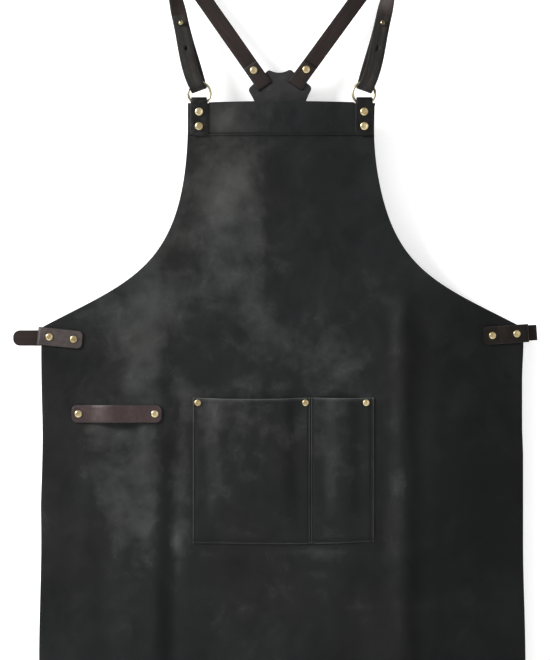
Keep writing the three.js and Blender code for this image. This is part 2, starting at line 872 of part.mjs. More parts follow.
function shoulderStrapRoute(side) {
  const place = ({ x, z }, y) => new THREE.Vector3(side * x, y, z);
  const width = strap.width;
  const downToRing = leaning(side, ringFold.frontLean).negate();
  const upFromRing = leaning(side, ringFold.backLean);
  const ringTurn = ringTurnOf(side, downToRing, upFromRing);
  const foldStart = ringTurn[0].point;
  const studDirection = leaning(side, studPoint.lean);

  const freeAtStud = place(studPoint, freeStrapY);
  const freeEnd = run(
    place(strapTip, freeStrapY),
    leaning(side, strapTip.lean).negate(),
    freeAtStud,
    studDirection.clone().negate(),
    toViewer,
    width,
    1,
  );
  const frontLayer = run(
    freeAtStud,
    studDirection.clone().negate(),
    foldStart,
    downToRing,
    toViewer,
    width,
    14,
  ).slice(1);
  const afterRing = ringTurn[ringTurn.length - 1].point;
  const mainAtStud = place(studPoint, mainStrapY);
  const backLayer = run(afterRing, upFromRing, mainAtStud, studDirection, fromViewer, width, 12);
  const crestStart = place(crest, mainStrapY);
  const upToCrest = leaning(side, crest.lean);
  const rise = run(mainAtStud, studDirection, crestStart, upToCrest, fromViewer, width, 8);

  // The back strap's lean follows from where its yoke slot is, so the crest is folded for it.
  const slot = yokeSlotPoint(side, true);
  const { crestTurn, out } = crestFold(crestStart, upToCrest, slot);
  const { point } = crestTurn[crestTurn.length - 1];
  const direction = out.clone().negate();
  const back = yokeEnd(slot, out, { point, direction, steps: 10 });
  const stations = [
    ...freeEnd,
    ...frontLayer,
    ...ringTurn.slice(1),
    ...backLayer.slice(1),
    ...rise.slice(1),
    ...crestTurn.slice(1),
    ...back.slice(1),
  ];
  return { stations: roundedEnd(stations, strapTip.cornerRadius), slot, out, crestTurn };
}

/** Folds a strap over its crest so that it leaves straight for its slot in the yoke. */
function crestFold(start, upwards, slot) {
  let out = upwards.clone();
  let crestTurn = [];
  for (let pass = 0; pass < 6; pass++) {
    crestTurn = fold(
      start,
      upwards,
      out.clone().negate(),
      fromViewer,
      crestRadius,
      fromViewer,
      strap.width,
      crest.facets,
    );
    const { point } = crestTurn[crestTurn.length - 1];
    out = new THREE.Vector3(point.x - slot.x, 0, point.z - slot.z).normalize();
  }
  return { crestTurn, out };
}

const yokeSlotTools = [];
const crestMiddles = [];
const beyondStack = 30; // longer than any stack of layers, for tools that pass right through

for (const [name, side] of Object.entries(sides)) {
  const { stations, slot, out, crestTurn } = shoulderStrapRoute(side);
  crestMiddles.push(crestTurn);
  yokeSlotTools.push(slotTool(slot, out));
  const x = side * studPoint.x;
  const between = mainStrapY - strap.thick / 2 - gap; // just in front of the main strap
  const front = freeStrapY - strap.thick / 2;
  const rivet = yokeRivetPoint(slot, out);
  const holes = [
    drill(x, studPoint.z, neckHole, front - beyondStack, between),
    drill(x, studPoint.z, screwHole, between - gap, mainStrapY + strap.thick),
    drill(rivet.x, rivet.z, holeRadius, tailY - strap.thick, rivetedY + strap.thick),
    ...adjustHoles.map((hole) =>
      drill(side * hole.x, hole.z, adjustHoleRadius, front - beyondStack, freeStrapY + 2 * gap + 1),
    ),
  ];
  add("shoulder_strap_" + name, cut(strip(stations, strap.thick), holes), strapLeather);
  const seat = strap.thick;
  const base = mainStrapY - strap.thick / 2;
  addStud("strap_stud_" + name, x, studPoint.z, base, -1, stud.flange, strap.thick, seat);
  addRivet(
    "yoke_rivet_upper_" + name,
    rivet.x,
    rivet.z,
    tailY - strap.thick / 2,
    rivetedY + strap.thick / 2,
    rivetCap.yoke,
  );
}

// ---------------------------------------------------------------- side tabs and lower straps

/** The way outwards along a side tab or a lower strap's end, whose inner end is `tilt` lower. */
function outwardsAt(side, tilt) {
  return new THREE.Vector3(side * Math.cos(radians(tilt)), 0, Math.sin(radians(tilt)));
}

/** A tab folded round the panel's side edge, with one leg on each face. */
function sideTabStrip(name) {
  const { thick, height, length, backLength, cornerRadius } = sideTab;
  const radius = (sideTabBack - sideTabFront - thick) / 2;
  const outwards = outwardsAt(sides[name], sideTab[name].tilt);
  const inwards = outwards.clone().negate();
  const frontY = sideTabFront + thick / 2;
  const backY = sideTabBack - thick / 2;
  const place = (distance, y) => {
    const { x, z } = sideTabPoint(name, distance);
    return new THREE.Vector3(x, y, z);
  };
  const foldRun = radius + thick / 2;
  const start = place(length, frontY);
  const first = station(start, outwards, toViewer, height);
  const second = station(place(length - 12, frontY), outwards, toViewer, height);
  const turn = fold(
    place(foldRun, frontY),
    outwards,
    inwards,
    fromViewer,
    radius,
    toViewer,
    height,
    8,
  );
  const beforeEnd = station(place(backLength - 12, backY), inwards, fromViewer, height);
  const end = station(place(backLength, backY), inwards, fromViewer, height);
  const stations = roundedEnd([first, second, ...turn, beforeEnd, end], cornerRadius);
  return strip(roundedEnd(stations.reverse(), cornerRadius).reverse(), thick);
}

const sideStudBase = sideTabBack;
const lowerStrapY = sideStudBase + 2 * gap + sideStudFlange + strap.thick / 2;
const tuckedY = lowerStrapY + strap.thick + gap;

for (const [name, side] of Object.entries(sides)) {
  const end = lowerStrapEnd[name];
  const outwards = outwardsAt(side, end.tilt);
  const inwards = outwards.clone().negate();
  const width = strap.width;
  const place = sideTabPoint(name, sideTab.studRun);
  const studAt = new THREE.Vector3(place.x, 0, place.z);
  const at = (inwardRun, y) => {
    const { x, z } = studAt.clone().addScaledVector(inwards, inwardRun);
    return new THREE.Vector3(x, y, z);
  };
  const reach = panel.halfWidth + end.standOut;
  const outerRun = (reach - Math.abs(studAt.x)) / Math.cos(radians(end.tilt));
  const tucked = name === "right";

  // The outer end: a rounded tip left standing out, or the spare length tucked back over the stud.
  let outer;
  if (tucked) {
    const radius = (tuckedY - lowerStrapY) / 2;
    const foldRun = -outerRun + radius + strap.thick / 2;
    const tipRun = lowerStrapEnd.tuckBeyondStud;
    const tip = station(at(tipRun, tuckedY), outwards, fromViewer, width);
    const next = station(at(tipRun - 12, tuckedY), outwards, fromViewer, width);
    const turn = fold(
      at(foldRun, tuckedY),
      outwards,
      inwards,
      toViewer,
      radius,
      fromViewer,
      width,
      6,
    );
    outer = [tip, next, ...turn];
  } else {
    const tip = station(at(-outerRun, lowerStrapY), inwards, toViewer, width);
    const next = station(at(-outerRun + 14, lowerStrapY), inwards, toViewer, width);
    outer = [tip, next];
  }
  const innerRun = sideTab.backLength + 4 - sideTab.studRun; // clear of the tab's end
  const arrive = { point: at(innerRun, lowerStrapY), direction: inwards, steps: 26 };
  const slot = yokeSlotPoint(side, false);
  const out = leaning(side, 180 - lowerStrapLean);
  yokeSlotTools.push(slotTool(slot, out));
  const tipRadius = (width - lowerStrapEnd.tipFlat) / 2;
  const stations = roundedEnd([...outer, ...yokeEnd(slot, out, arrive)], tipRadius);
  const rivet = yokeRivetPoint(slot, out);
  const holes = [
    drill(rivet.x, rivet.z, holeRadius, tailY - strap.thick, rivetedY + strap.thick),
    drill(studAt.x, studAt.z, neckHole, sideStudBase, tuckedY + strap.thick),
  ];
  add("lower_strap_" + name, cut(strip(stations, strap.thick), holes), strapLeather);
  addRivet(
    "yoke_rivet_lower_" + name,
    rivet.x,
    rivet.z,
    tailY - strap.thick / 2,
    rivetedY + strap.thick / 2,
    rivetCap.yoke,
  );

  const layers = tucked ? 2 * strap.thick + gap : strap.thick;
  const headPocket = stud.screwHeadHeight + 2 * gap; // sunk in the tab's inner side
  const seat = sideTab.thick - headPocket + gap;
  addStud("side_stud_" + name, studAt.x, studAt.z, sideStudBase, 1, sideStudFlange, layers, seat);
  const tabHoles = sideTab.rivets.map((distance) => sideTabPoint(name, distance));
  const innerFace = panelBack + gap;
  add(
    "side_tab_" + name,
    cut(sideTabStrip(name), [
      ...drillAll(tabHoles, holeRadius, sideTabFront, sideTabBack),
      drill(studAt.x, studAt.z, screwHole, 0, sideTabBack + 1),
      drill(studAt.x, studAt.z, stud.screwHead + gap, 0, innerFace + headPocket),
    ]),
    brownLeather,
  );
  tabHoles.forEach(({ x, z }, k) => {
    const rivetName = ["side_tab_rivet", name, ["outer", "inner"][k]].join("_");
    addRivet(rivetName, x, z, sideTabFront, sideTabBack, rivetCap.side);
  });
}

add("back_yoke", cut(sheet(yokeShape(), yokeFront, yoke.thick, 10), yokeSlotTools), yokeLeather);

// ---------------------------------------------------------------- the hanging point is the origin

/** The middle of a crest's inner side, where a peg, a hanger or a shoulder carries it. */
function seatOf(crestTurn) {
  const middle = Math.floor(crestTurn.length / 2);
  const [a, b] = [crestTurn[middle - 1], crestTurn[middle]];
  const point = a.point.clone().add(b.point).multiplyScalar(0.5);
  const inner = a.normal.clone().add(b.normal).normalize();
  return point.addScaledVector(inner, strap.thick / 2);
}

const seats = crestMiddles.map(seatOf);
const hangingPoint = seats[0].clone().add(seats[1]).multiplyScalar(0.5);
group.position.set(0, -hangingPoint.y, -hangingPoint.z);

const apron = new THREE.Group();
apron.add(group);
export default apron;
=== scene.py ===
# %% [markdown]
# # A leather work apron on its cross-back straps
#
# The apron is cut from one heavy hide. Thin straps, tabs and a yoke of firmer leather carry it, and
# brass rings, rivets and ball studs join them. This lesson dresses the solid model of the apron with
# pieces that have real thickness, rounded cut edges, sewing, and leather and brass finishes.
#
# The solid model comes first, because every piece has to sit where its solid sits.

# %% Load the solid model
import math

import bmesh
import bpy
import numpy as np
from mathutils import Euler, Matrix, Vector, noise


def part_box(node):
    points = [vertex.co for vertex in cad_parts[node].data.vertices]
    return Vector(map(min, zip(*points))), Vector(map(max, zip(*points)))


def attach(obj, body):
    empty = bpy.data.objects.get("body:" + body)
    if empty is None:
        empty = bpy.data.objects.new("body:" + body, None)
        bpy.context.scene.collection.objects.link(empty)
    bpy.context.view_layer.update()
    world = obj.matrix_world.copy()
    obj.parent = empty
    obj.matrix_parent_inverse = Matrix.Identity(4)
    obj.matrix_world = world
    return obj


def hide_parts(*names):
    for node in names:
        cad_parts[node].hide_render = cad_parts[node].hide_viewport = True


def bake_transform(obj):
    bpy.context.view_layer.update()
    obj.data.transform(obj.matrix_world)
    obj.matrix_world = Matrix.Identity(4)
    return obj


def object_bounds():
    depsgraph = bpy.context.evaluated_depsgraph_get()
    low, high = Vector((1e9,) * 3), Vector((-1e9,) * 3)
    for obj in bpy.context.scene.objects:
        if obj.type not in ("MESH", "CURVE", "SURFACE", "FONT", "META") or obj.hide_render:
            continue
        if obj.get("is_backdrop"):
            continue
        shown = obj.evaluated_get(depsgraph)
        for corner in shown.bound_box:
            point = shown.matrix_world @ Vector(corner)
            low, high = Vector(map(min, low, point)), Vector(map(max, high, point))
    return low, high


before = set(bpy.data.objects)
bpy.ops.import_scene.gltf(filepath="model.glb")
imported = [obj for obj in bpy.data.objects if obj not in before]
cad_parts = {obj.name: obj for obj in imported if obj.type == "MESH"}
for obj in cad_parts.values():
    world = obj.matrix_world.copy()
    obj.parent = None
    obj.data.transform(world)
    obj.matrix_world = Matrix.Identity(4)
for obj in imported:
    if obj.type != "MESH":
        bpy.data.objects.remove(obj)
solid_low, solid_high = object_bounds()
print("solid model", [round(v, 4) for v in solid_high - solid_low])

# %% [markdown]
# ## One set of millimetres
#
# A leather worker measures an apron from the top of its bib, so the sizes below are in millimetres
# from there: x to the right, y away from the viewer, z up, with y = 0 in the middle of the hide.
# One function turns such a point into the model's metres.

# %% Where the bib's top edge is
MM = 0.001
HIDE_LENGTH = 830
panel_low, panel_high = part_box("apron_panel")
BIB_TOP = Vector((0, (panel_low.y + panel_high.y) / 2 / MM, panel_low.z / MM + HIDE_LENGTH))


def to_metres(point):
    """A point in the maker's millimetres, in the model's metres."""
    return (Vector(point) + BIB_TOP) * MM


print("the bib's top edge is at", [round(v, 2) for v in BIB_TOP], "mm")

# %% [markdown]
# ## Studio
#
# A white wall close behind the apron catches its soft shadow, as when a shop hangs it up for show.
# The wall is see-through from behind, so that the apron's back can be looked at too. It also glows a
# little, as a backdrop lit from behind does, which keeps the broad shadows pale. The camera is far
# away with a long lens, which keeps the straight edges straight. The light is one big soft box above
# and to the left, with even light from the room.

# %% Camera, wall, floor and lights
scene = bpy.context.scene
scene.view_settings.view_transform = "Standard"

VIEW_CENTRE = (-8.3, 0, -282.5)
VIEW_HEIGHT = 821.7
CAMERA_DISTANCE = 5200
FULL_SENSOR = 36


def add_object(name, data):
    """A new object in the scene, which holds a mesh, a curve, a light or a camera."""
    made = bpy.data.objects.new(name, data)
    scene.collection.objects.link(made)
    return made


camera_data = bpy.data.cameras.new("camera")
camera_data.sensor_width = FULL_SENSOR
camera_data.lens = FULL_SENSOR * CAMERA_DISTANCE / VIEW_HEIGHT
camera = add_object("camera", camera_data)
camera.location = to_metres((VIEW_CENTRE[0], -CAMERA_DISTANCE, VIEW_CENTRE[2]))
camera.rotation_euler = (math.pi / 2, 0, 0)
scene.camera = camera


class Graph:
    """Adds nodes to a tree: inputs are values, or sockets of other nodes, by name or number."""

    def __init__(self, tree):
        self.tree = tree

    def add(self, kind, inputs=None, **settings):
        node = self.tree.nodes.new(kind)
        for key, value in settings.items():
            setattr(node, key, value)
        for key, value in (inputs or {}).items():
            if isinstance(value, bpy.types.NodeSocket):
                self.tree.links.new(value, node.inputs[key])
            else:
                node.inputs[key].default_value = value
        return node

    def math(self, operation, a, b=0.0, clamp=False):
        return self.add("ShaderNodeMath", {0: a, 1: b}, operation=operation, use_clamp=clamp).outputs[0]

    def spread(self, value, from_low, from_high, to_low, to_high):
        """Maps a value from one range to another, held inside it."""
        inputs = {0: value, 1: from_low, 2: from_high, 3: to_low, 4: to_high}
        return self.add("ShaderNodeMapRange", inputs).outputs[0]

    def mix(self, share, a, b, blend="MIX"):
        inputs = {0: share, 6: a, 7: b}
        return self.add("ShaderNodeMix", inputs, data_type="RGBA", blend_type=blend).outputs[2]

    def noise(self, place, scale, detail, roughness=0.5, distortion=0.0):
        inputs = {"Vector": place, "Scale": scale, "Detail": detail}
        inputs |= {"Roughness": roughness, "Distortion": distortion}
        return self.add("ShaderNodeTexNoise", inputs).outputs[0]

    def bump(self, strength, distance, height, **normal):
        inputs = {"Strength": strength, "Distance": distance, "Height": height, **normal}
        return self.add("ShaderNodeBump", inputs).outputs[0]


def new_material(name):
    material = bpy.data.materials.new(name)
    material.use_nodes = True
    material.node_tree.nodes.clear()
    return material, Graph(material.node_tree)


def finish_surface(graph, shader):
    graph.add("ShaderNodeOutputMaterial", {"Surface": shader})


def flat_stage(name, corners, material):
    mesh = bpy.data.meshes.new(name)
    mesh.from_pydata([to_metres(c) for c in corners], [], [(0, 1, 2, 3)])
    mesh.materials.append(material)
    add_object(name, mesh)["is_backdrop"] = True


WALL_GLOW = 0.5
ROOM_LIGHT = 0.42
WHITE = (1, 1, 1, 1)
wall_paint, g = new_material("wall_paint")
paint = g.add("ShaderNodeBsdfDiffuse", {"Color": (0.86, 0.86, 0.86, 1)}).outputs[0]
backlight = g.add("ShaderNodeEmission", {"Color": WHITE, "Strength": WALL_GLOW}).outputs[0]
paint = g.add("ShaderNodeAddShader", {0: paint, 1: backlight}).outputs[0]
clear = g.add("ShaderNodeBsdfTransparent").outputs[0]
behind = g.add("ShaderNodeNewGeometry").outputs["Backfacing"]
finish_surface(g, g.add("ShaderNodeMixShader", {0: behind, 1: paint, 2: clear}).outputs[0])

floor_paint, g = new_material("floor_paint")
paint = g.add("ShaderNodeBsdfDiffuse", {"Color": (0.8, 0.8, 0.79, 1)}).outputs[0]
finish_surface(g, paint)

STAGE_HALF = 2600
WALL_Y, WALL_TOP = 34, 1700
FLOOR_Z, FLOOR_NEAR, FLOOR_FAR = -1180, -4500, 3000
AROUND = ((-STAGE_HALF, 0), (STAGE_HALF, 0), (STAGE_HALF, 1), (-STAGE_HALF, 1))
flat_stage("wall", [(x, WALL_Y, (FLOOR_Z, WALL_TOP)[end]) for x, end in AROUND], wall_paint)
flat_stage("floor", [(x, (FLOOR_NEAR, FLOOR_FAR)[end], FLOOR_Z) for x, end in AROUND], floor_paint)


def soft_box(name, place, aim, size, power):
    data = bpy.data.lights.new(name, "AREA")
    data.shape = "RECTANGLE"
    data.size, data.size_y = size[0] * MM, size[1] * MM
    data.energy = power
    light = add_object(name, data)
    light.location = to_metres(place)
    towards = to_metres(aim) - light.location
    light.rotation_euler = towards.to_track_quat("-Z", "Y").to_euler()


soft_box("key_light", (-1900, -1200, 800), (0, 0, -300), (800, 800), 88)
soft_box("fill_light", (1500, -2600, 200), (0, 0, -350), (1800, 1800), 12)

world = bpy.data.worlds.new("studio")
world.use_nodes = True
world.node_tree.nodes["Background"].inputs["Color"].default_value = WHITE
world.node_tree.nodes["Background"].inputs["Strength"].default_value = ROOM_LIGHT
scene.world = world
print("camera lens", round(camera_data.lens, 1), "mm")

# %% [markdown]
# ## Leather
#
# Waxed leather is dark where the wax sits and pales where it has been bent or rubbed, so its colour
# is cloudy at several sizes at once. On top of that are thin pale pull-up veins, a pebbled grain
# about a millimetre across, and a sheen that varies with the wax. One recipe makes every leather
# here, with different colours and sizes. Large sheets also carry an attribute, "tone", which says
# where the hide has been rubbed pale and where it stays dark. It also holds painted light and shade:
# a paler left side, painted light beside one fold and painted shade beside another, and a painted
# shadow below the left side tab. Large sheets also have a crumple of soft bends that are too slight
# to model. Straps have their pattern stretched along their own length, so they read their UV map,
# and one finish of theirs has a dark line along both edges. That line is the pressed crease's own
# darker colour, and painted shade of its groove.


# %% The leather recipe
GRAIN_RELIEF = 0.00016
WITHOUT_TONE = 0.45  # the middle of the colour ramp
COOL, WARM = (0.97, 1.0, 1.02, 1), (1.03, 1.0, 0.97, 1)


def srgb(colour):
    """A colour picked on a 0 to 255 scale, as the linear light that shaders work in."""
    light = [((c / 255 + 0.055) / 1.055) ** 2.4 if c > 10 else c / 255 / 12.92 for c in colour]
    return (*light, 1)


def leather(
    name,
    deep,
    middle,
    pale,
    cloud,
    contrast,
    roughness=(0.42, 0.62),
    pebble=850.0,
    tone=False,
    along=None,
    veins=0.3,
    sheen=0.3,
    crumple=0.0,
    edge_line=0.0,
):
    material, g = new_material(name)
    coords = g.add("ShaderNodeTexCoord")
    grain_place = place = coords.outputs["Object"]
    if along:
        place = g.add("ShaderNodeMapping", {"Vector": coords.outputs["UV"], "Scale": along}).outputs[0]
    clouds = g.noise(place, cloud, 6.0, 0.6, 0.25)
    smudges = g.noise(place, cloud * 5.0, 6.0, 0.6, 0.35)
    amount = g.math("MULTIPLY", g.math("SUBTRACT", clouds, 0.5), contrast * 1.6)
    amount = g.math("ADD", amount, g.math("MULTIPLY", g.math("SUBTRACT", smudges, 0.5), contrast))
    # The tone attribute holds wear, and also painted light and shade.
    wear_and_painted_light = WITHOUT_TONE
    if tone:
        wear_and_painted_light = g.add("ShaderNodeAttribute", attribute_name="tone").outputs["Fac"]
    amount = g.math("ADD", amount, wear_and_painted_light)
    wisps = g.noise(place, cloud * 3.1, 3.0, 0.5, 1.4)
    vein = g.math("ABSOLUTE", g.math("SUBTRACT", wisps, 0.5))
    vein = g.spread(vein, 0.0, 0.018, 1.0, 0.0)
    vein = g.math("MULTIPLY", vein, g.spread(smudges, 0.46, 0.62, 0.0, veins))
    amount = g.math("ADD", amount, vein, clamp=True)
    # A dark line along both edges: the pressed crease's own darker colour, and painted shade of its
    # unmodelled groove.
    if edge_line:
        from_middle = g.add("ShaderNodeSeparateXYZ", {"Vector": coords.outputs["UV"]}).outputs["Y"]
        from_line = g.math("SUBTRACT", g.math("ABSOLUTE", from_middle), edge_line)
        crease_colour_and_shade = g.spread(g.math("ABSOLUTE", from_line), 0.0002, 0.0006, 0.4, 0.0)
        amount = g.math("SUBTRACT", amount, crease_colour_and_shade, clamp=True)
    colours = g.add("ShaderNodeValToRGB", {"Fac": amount})
    ramp = colours.color_ramp
    ramp.elements[0].position, ramp.elements[0].color = 0.05, srgb(deep)
    ramp.elements[1].position, ramp.elements[1].color = 0.95, srgb(pale)
    ramp.elements.new(WITHOUT_TONE).color = srgb(middle)
    hue = g.noise(place, cloud * 0.6, 2.0)
    warmth = g.mix(g.spread(hue, 0.4, 0.6, 0.0, 1.0), COOL, WARM)
    colour = g.mix(1.0, colours.outputs[0], warmth, "MULTIPLY")

    inputs = {"Vector": grain_place, "Scale": pebble, "Randomness": 1.0}
    cells = g.add("ShaderNodeTexVoronoi", inputs, feature="DISTANCE_TO_EDGE").outputs[0]
    pores = g.noise(grain_place, pebble * 0.35, 4.0, 0.65)
    height = g.math("ADD", g.spread(cells, 0.0, 0.3, 0.0, 1.0), g.math("MULTIPLY", pores, 1.6))
    height = g.math("ADD", height, g.math("MULTIPLY", smudges, 2.0))
    bump = g.bump(0.6, GRAIN_RELIEF, height)
    if crumple:
        bump = g.bump(1.0, crumple, g.noise(place, cloud * 1.6, 3.0, 0.45, 0.4), Normal=bump)
    gloss = g.math("ADD", g.math("MULTIPLY", smudges, 0.5), g.math("MULTIPLY", clouds, 0.5))
    inputs = {
        "Base Color": colour,
        "Roughness": g.spread(gloss, 0.35, 0.65, *roughness),
        "Normal": bump,
        "Specular IOR Level": sheen,
    }
    finish_surface(g, g.add("ShaderNodeBsdfPrincipled", inputs).outputs[0])
    return material


# %% [markdown]
# Each leather has a deep, a middle and a pale colour, then the size of its clouds and their contrast.

# %% The leathers
look = {"roughness": (0.44, 0.6), "veins": 0.07, "sheen": 0.14, "tone": True, "crumple": 0.006}
panel_hide = leather("charcoal_hide", (6, 7, 8), (24, 25, 25), (72, 74, 73), 9.0, 0.36, **look)
look = {"roughness": (0.34, 0.48), "veins": 0.1, "sheen": 0.2}
tab_hide = leather("black_bridle", (3, 3, 3), (12, 13, 12), (52, 54, 52), 30, 1.0, **look)
look = {"sheen": 0.2}
yoke_hide = leather("yoke_charcoal", (24, 23, 23), (37, 36, 36), (56, 54, 54), 22, 0.35, **look)
look = {"roughness": (0.34, 0.5), "sheen": 0.4}
side_hide = leather("side_tab_brown", (26, 20, 19), (50, 42, 40), (84, 74, 71), 40, 0.4, **look)
look = {"roughness": (0.36, 0.5), "sheen": 0.15}
dark_side_hide = leather("side_tab_dark", (8, 6, 4), (20, 15, 11), (52, 42, 34), 40, 0.6, **look)
look = {"roughness": (0.34, 0.46), "sheen": 0.5}
loop_hide = leather("loop_oxblood", (24, 12, 12), (43, 26, 25), (76, 58, 55), 34, 0.5, **look)
look = {"along": (9, 60, 1), "veins": 0.1, "sheen": 0.25}
strap_grain = leather("strap_grain", (14, 9, 8), (30, 21, 18), (54, 43, 39), 1.6, 0.5, **look)
look = {"along": (14, 160, 1), "roughness": (0.6, 0.78), "pebble": 1500, "veins": 0.1, "sheen": 0.2}
strap_flesh = leather("strap_flesh", (13, 8, 7), (30, 21, 18), (58, 46, 41), 1.4, 0.55, **look)
look |= {"along": (12, 110, 1), "roughness": (0.38, 0.52), "edge_line": 0.0074}
free_end_grain = leather("free_end_grain", (5, 4, 4), (26, 24, 22), (62, 59, 55), 1.4, 0.6, **look)
look = {"roughness": (0.5, 0.66), "pebble": 2600}
cut_edge = leather("cut_edge", (12, 11, 10), (26, 24, 22), (56, 53, 50), 90, 0.4, **look)
look = {"pebble": 2600}
pocket_edge = leather("raw_pocket_edge", (44, 45, 43), (70, 72, 69), (100, 103, 99), 90, 0.4, **look)
print("leathers", [m.name for m in bpy.data.materials if m.node_tree])

# %% [markdown]
# ## Brass and thread
#
# The fittings are brass that has been antiqued: bright where it is rubbed and brown in the hollows.
# A slow noise makes the patina, and a fine one roughens it. The thread is waxed and nearly black.


# %% The metal recipe
def antique_brass(name, bright, dull, roughness):
    material, g = new_material(name)
    place = g.add("ShaderNodeTexCoord").outputs["Object"]
    patina = g.noise(place, 46.0, 5.0, 0.6)
    specks = g.noise(place, 900.0, 4.0, 0.7)
    both = g.math("ADD", patina, g.math("MULTIPLY", g.math("SUBTRACT", specks, 0.5), 0.5))
    inputs = {
        "Base Color": g.mix(g.spread(both, 0.42, 0.62, 0.0, 1.0), srgb(bright), srgb(dull)),
        "Metallic": 1.0,
        "Roughness": g.spread(both, 0.3, 0.7, *roughness),
        "Normal": g.bump(0.35, 0.00006, specks),
    }
    finish_surface(g, g.add("ShaderNodeBsdfPrincipled", inputs).outputs[0])
    return material


rivet_brass = antique_brass("rivet_brass", (232, 214, 168), (166, 146, 104), (0.26, 0.4))
ring_brass = antique_brass("ring_brass", (186, 178, 146), (102, 92, 66), (0.24, 0.4))
stud_brass = antique_brass("stud_brass", (156, 146, 112), (70, 60, 44), (0.18, 0.34))

thread, g = new_material("waxed_thread")
place = g.add("ShaderNodeTexCoord").outputs["Object"]
twist = g.add("ShaderNodeTexWave", {"Vector": place, "Scale": 900.0, "Distortion": 1.0}).outputs[0]
colour = g.mix(twist, srgb((16, 16, 17)), srgb((34, 34, 34)))
bump = g.bump(0.5, 0.0001, twist)
inputs = {"Base Color": colour, "Roughness": 0.6, "Normal": bump, "Specular IOR Level": 0.3}
finish_surface(g, g.add("ShaderNodeBsdfPrincipled", inputs).outputs[0])

# %% [markdown]
# ## Strips of leather
#
# Every strap and tab is a flat strip that bends only the way leather does: along its length, or
# round a crease. So each is made from stations, which hold the strip's middle, the direction across
# it and the normal of its outer side. A run is a smooth stretch between two points. A fold is a
# half-turn that rolls parallel to its crease, and drifts along the crease where it is crossed aslant.


# %% Stations, runs and folds
class Station:
    def __init__(self, point, across, normal, width):
        self.point, self.across, self.normal, self.width = point, across, normal, width

    def but(self, **changes):
        made = Station(self.point, self.across, self.normal, self.width)
        for key, value in changes.items():
            setattr(made, key, value)
        return made


TO_VIEWER = Vector((0, -1, 0))
FROM_VIEWER = Vector((0, 1, 0))
UP = Vector((0, 0, 1))
DOWN = Vector((0, 0, -1))


def station(point, direction, facing, width):
    normal = (facing - direction * facing.dot(direction)).normalized()
    return Station(point.copy(), direction.cross(normal).normalized(), normal, width)


def cubic(a, b, c, d, t):
    """The point at t, from 0 to 1, on the curve that b and c pull away from the line from a to d."""
    s = 1 - t
    return a * s**3 + b * 3 * s * s * t + c * 3 * s * t * t + d * t**3


def run(start, out, end, into, facing, width, steps, reach=1 / 3):
    handle = (end - start).length * reach
    a, b, c, d = start, start + out * handle, end - into * handle, end
    made = []
    for k in range(steps + 1):
        t = k / steps
        s = 1 - t
        slope = (b - a) * s * s + (c - b) * 2 * s * t + (d - c) * t * t
        made.append(station(cubic(a, b, c, d, t), slope.normalized(), facing, width))
    return made


def fold(start, into, out, toward, radius, facing, width, steps):
    beyond = (into - out).normalized()
    sine = (into - out).length / 2
    cosine = (into + out).length / 2
    crease = toward.cross(beyond).normalized()
    along = (into + out).normalized() if cosine > 1e-6 else crease
    drift = math.pi * radius * cosine / sine
    inward = 1 if facing.dot(toward) > 0 else -1
    centre = start + toward * radius
    made = []
    for k in range(steps + 1):
        angle = math.pi * k / steps
        radial = toward * -math.cos(angle) + beyond * math.sin(angle)
        point = centre + radial * radius + along * (drift * k / steps)
        made.append(Station(point, crease * -inward, radial * -inward, width / sine))
    return made


def rounded_end(stations, radius, steps=10):
    first, second = stations[:2]
    inwards = (second.point - first.point).normalized()
    made = []
    for k in range(steps):
        angle = math.pi / 2 * k / steps
        set_in = radius * (1 - math.sin(angle))
        point = first.point + inwards * (radius * (1 - math.cos(angle)))
        made.append(first.but(point=point, width=first.width - 2 * set_in))
    rest = stations[1:] if (second.point - first.point).length > radius else stations[2:]
    return [*made, first.but(point=first.point + inwards * radius), *rest]


def rounded_ends(stations, radius):
    return rounded_end(rounded_end(stations, radius)[::-1], radius)[::-1]


def leaning(side, degrees):
    """Upright in the plane of the apron, leaning outwards by this much."""
    return Vector((side * math.sin(math.radians(degrees)), 0, math.cos(math.radians(degrees))))


# %% [markdown]
# A strip's section is a rectangle with its corners rounded, as an edge tool leaves them, and it
# tapers a little at both cut ends for the same reason. The outer side, the inner side and the edges
# take different finishes: leather is smooth on its grain side, matte on its flesh side, and
# burnished on its edges. The UV map is the distance along the strip and across it, in metres.

# %% Skin a list of stations
FLATS = 6  # strips of faces across each flat side


def section(width, thick, inset, corner):
    """(across, out, side) round a strip's section; side is 0 outer, 1 inner, 2 edge, up to the next."""
    w, t = width / 2 - inset, thick / 2 - inset
    r = max(corner - inset, 0.04)
    points = []
    for a_sign, n_sign, start in ((1, 1, 0), (-1, 1, 90), (-1, -1, 180), (1, -1, 270)):
        for turn in (0, 45, 90):
            angle = math.radians(start + turn)
            a = a_sign * (w - r) + r * math.cos(angle)
            n = n_sign * (t - r) + r * math.sin(angle)
            last = turn == 90
            flat = start in (0, 180)
            side = (0 if start == 0 else 1) if last and flat else 2
            points.append((a, n, side))
        if start in (0, 180):
            a_from, n, side = points[-1]
            for k in range(1, FLATS):
                points.append((a_from * (1 - 2 * k / FLATS), n, side))
    return points


def resample(stations, longest=4.0):
    """Adds stations between those that lie far apart on a straight stretch."""
    made = [stations[0]]
    for last, this in zip(stations, stations[1:]):
        count = int((this.point - last.point).length / longest)
        for k in range(1, count + 1):
            t = k / (count + 1)
            mixed = Station(
                last.point.lerp(this.point, t),
                last.across.lerp(this.across, t).normalized(),
                last.normal.lerp(this.normal, t).normalized(),
                last.width + (this.width - last.width) * t,
            )
            made.append(mixed)
        made.append(this)
    return made


def closed_up(mesh):
    """Merges doubles and turns every face outwards."""
    bm = bmesh.new()
    bm.from_mesh(mesh)
    bmesh.ops.remove_doubles(bm, verts=bm.verts, dist=1e-7)
    bmesh.ops.recalc_face_normals(bm, faces=bm.faces)
    bm.to_mesh(mesh)
    bm.free()
    mesh.update()


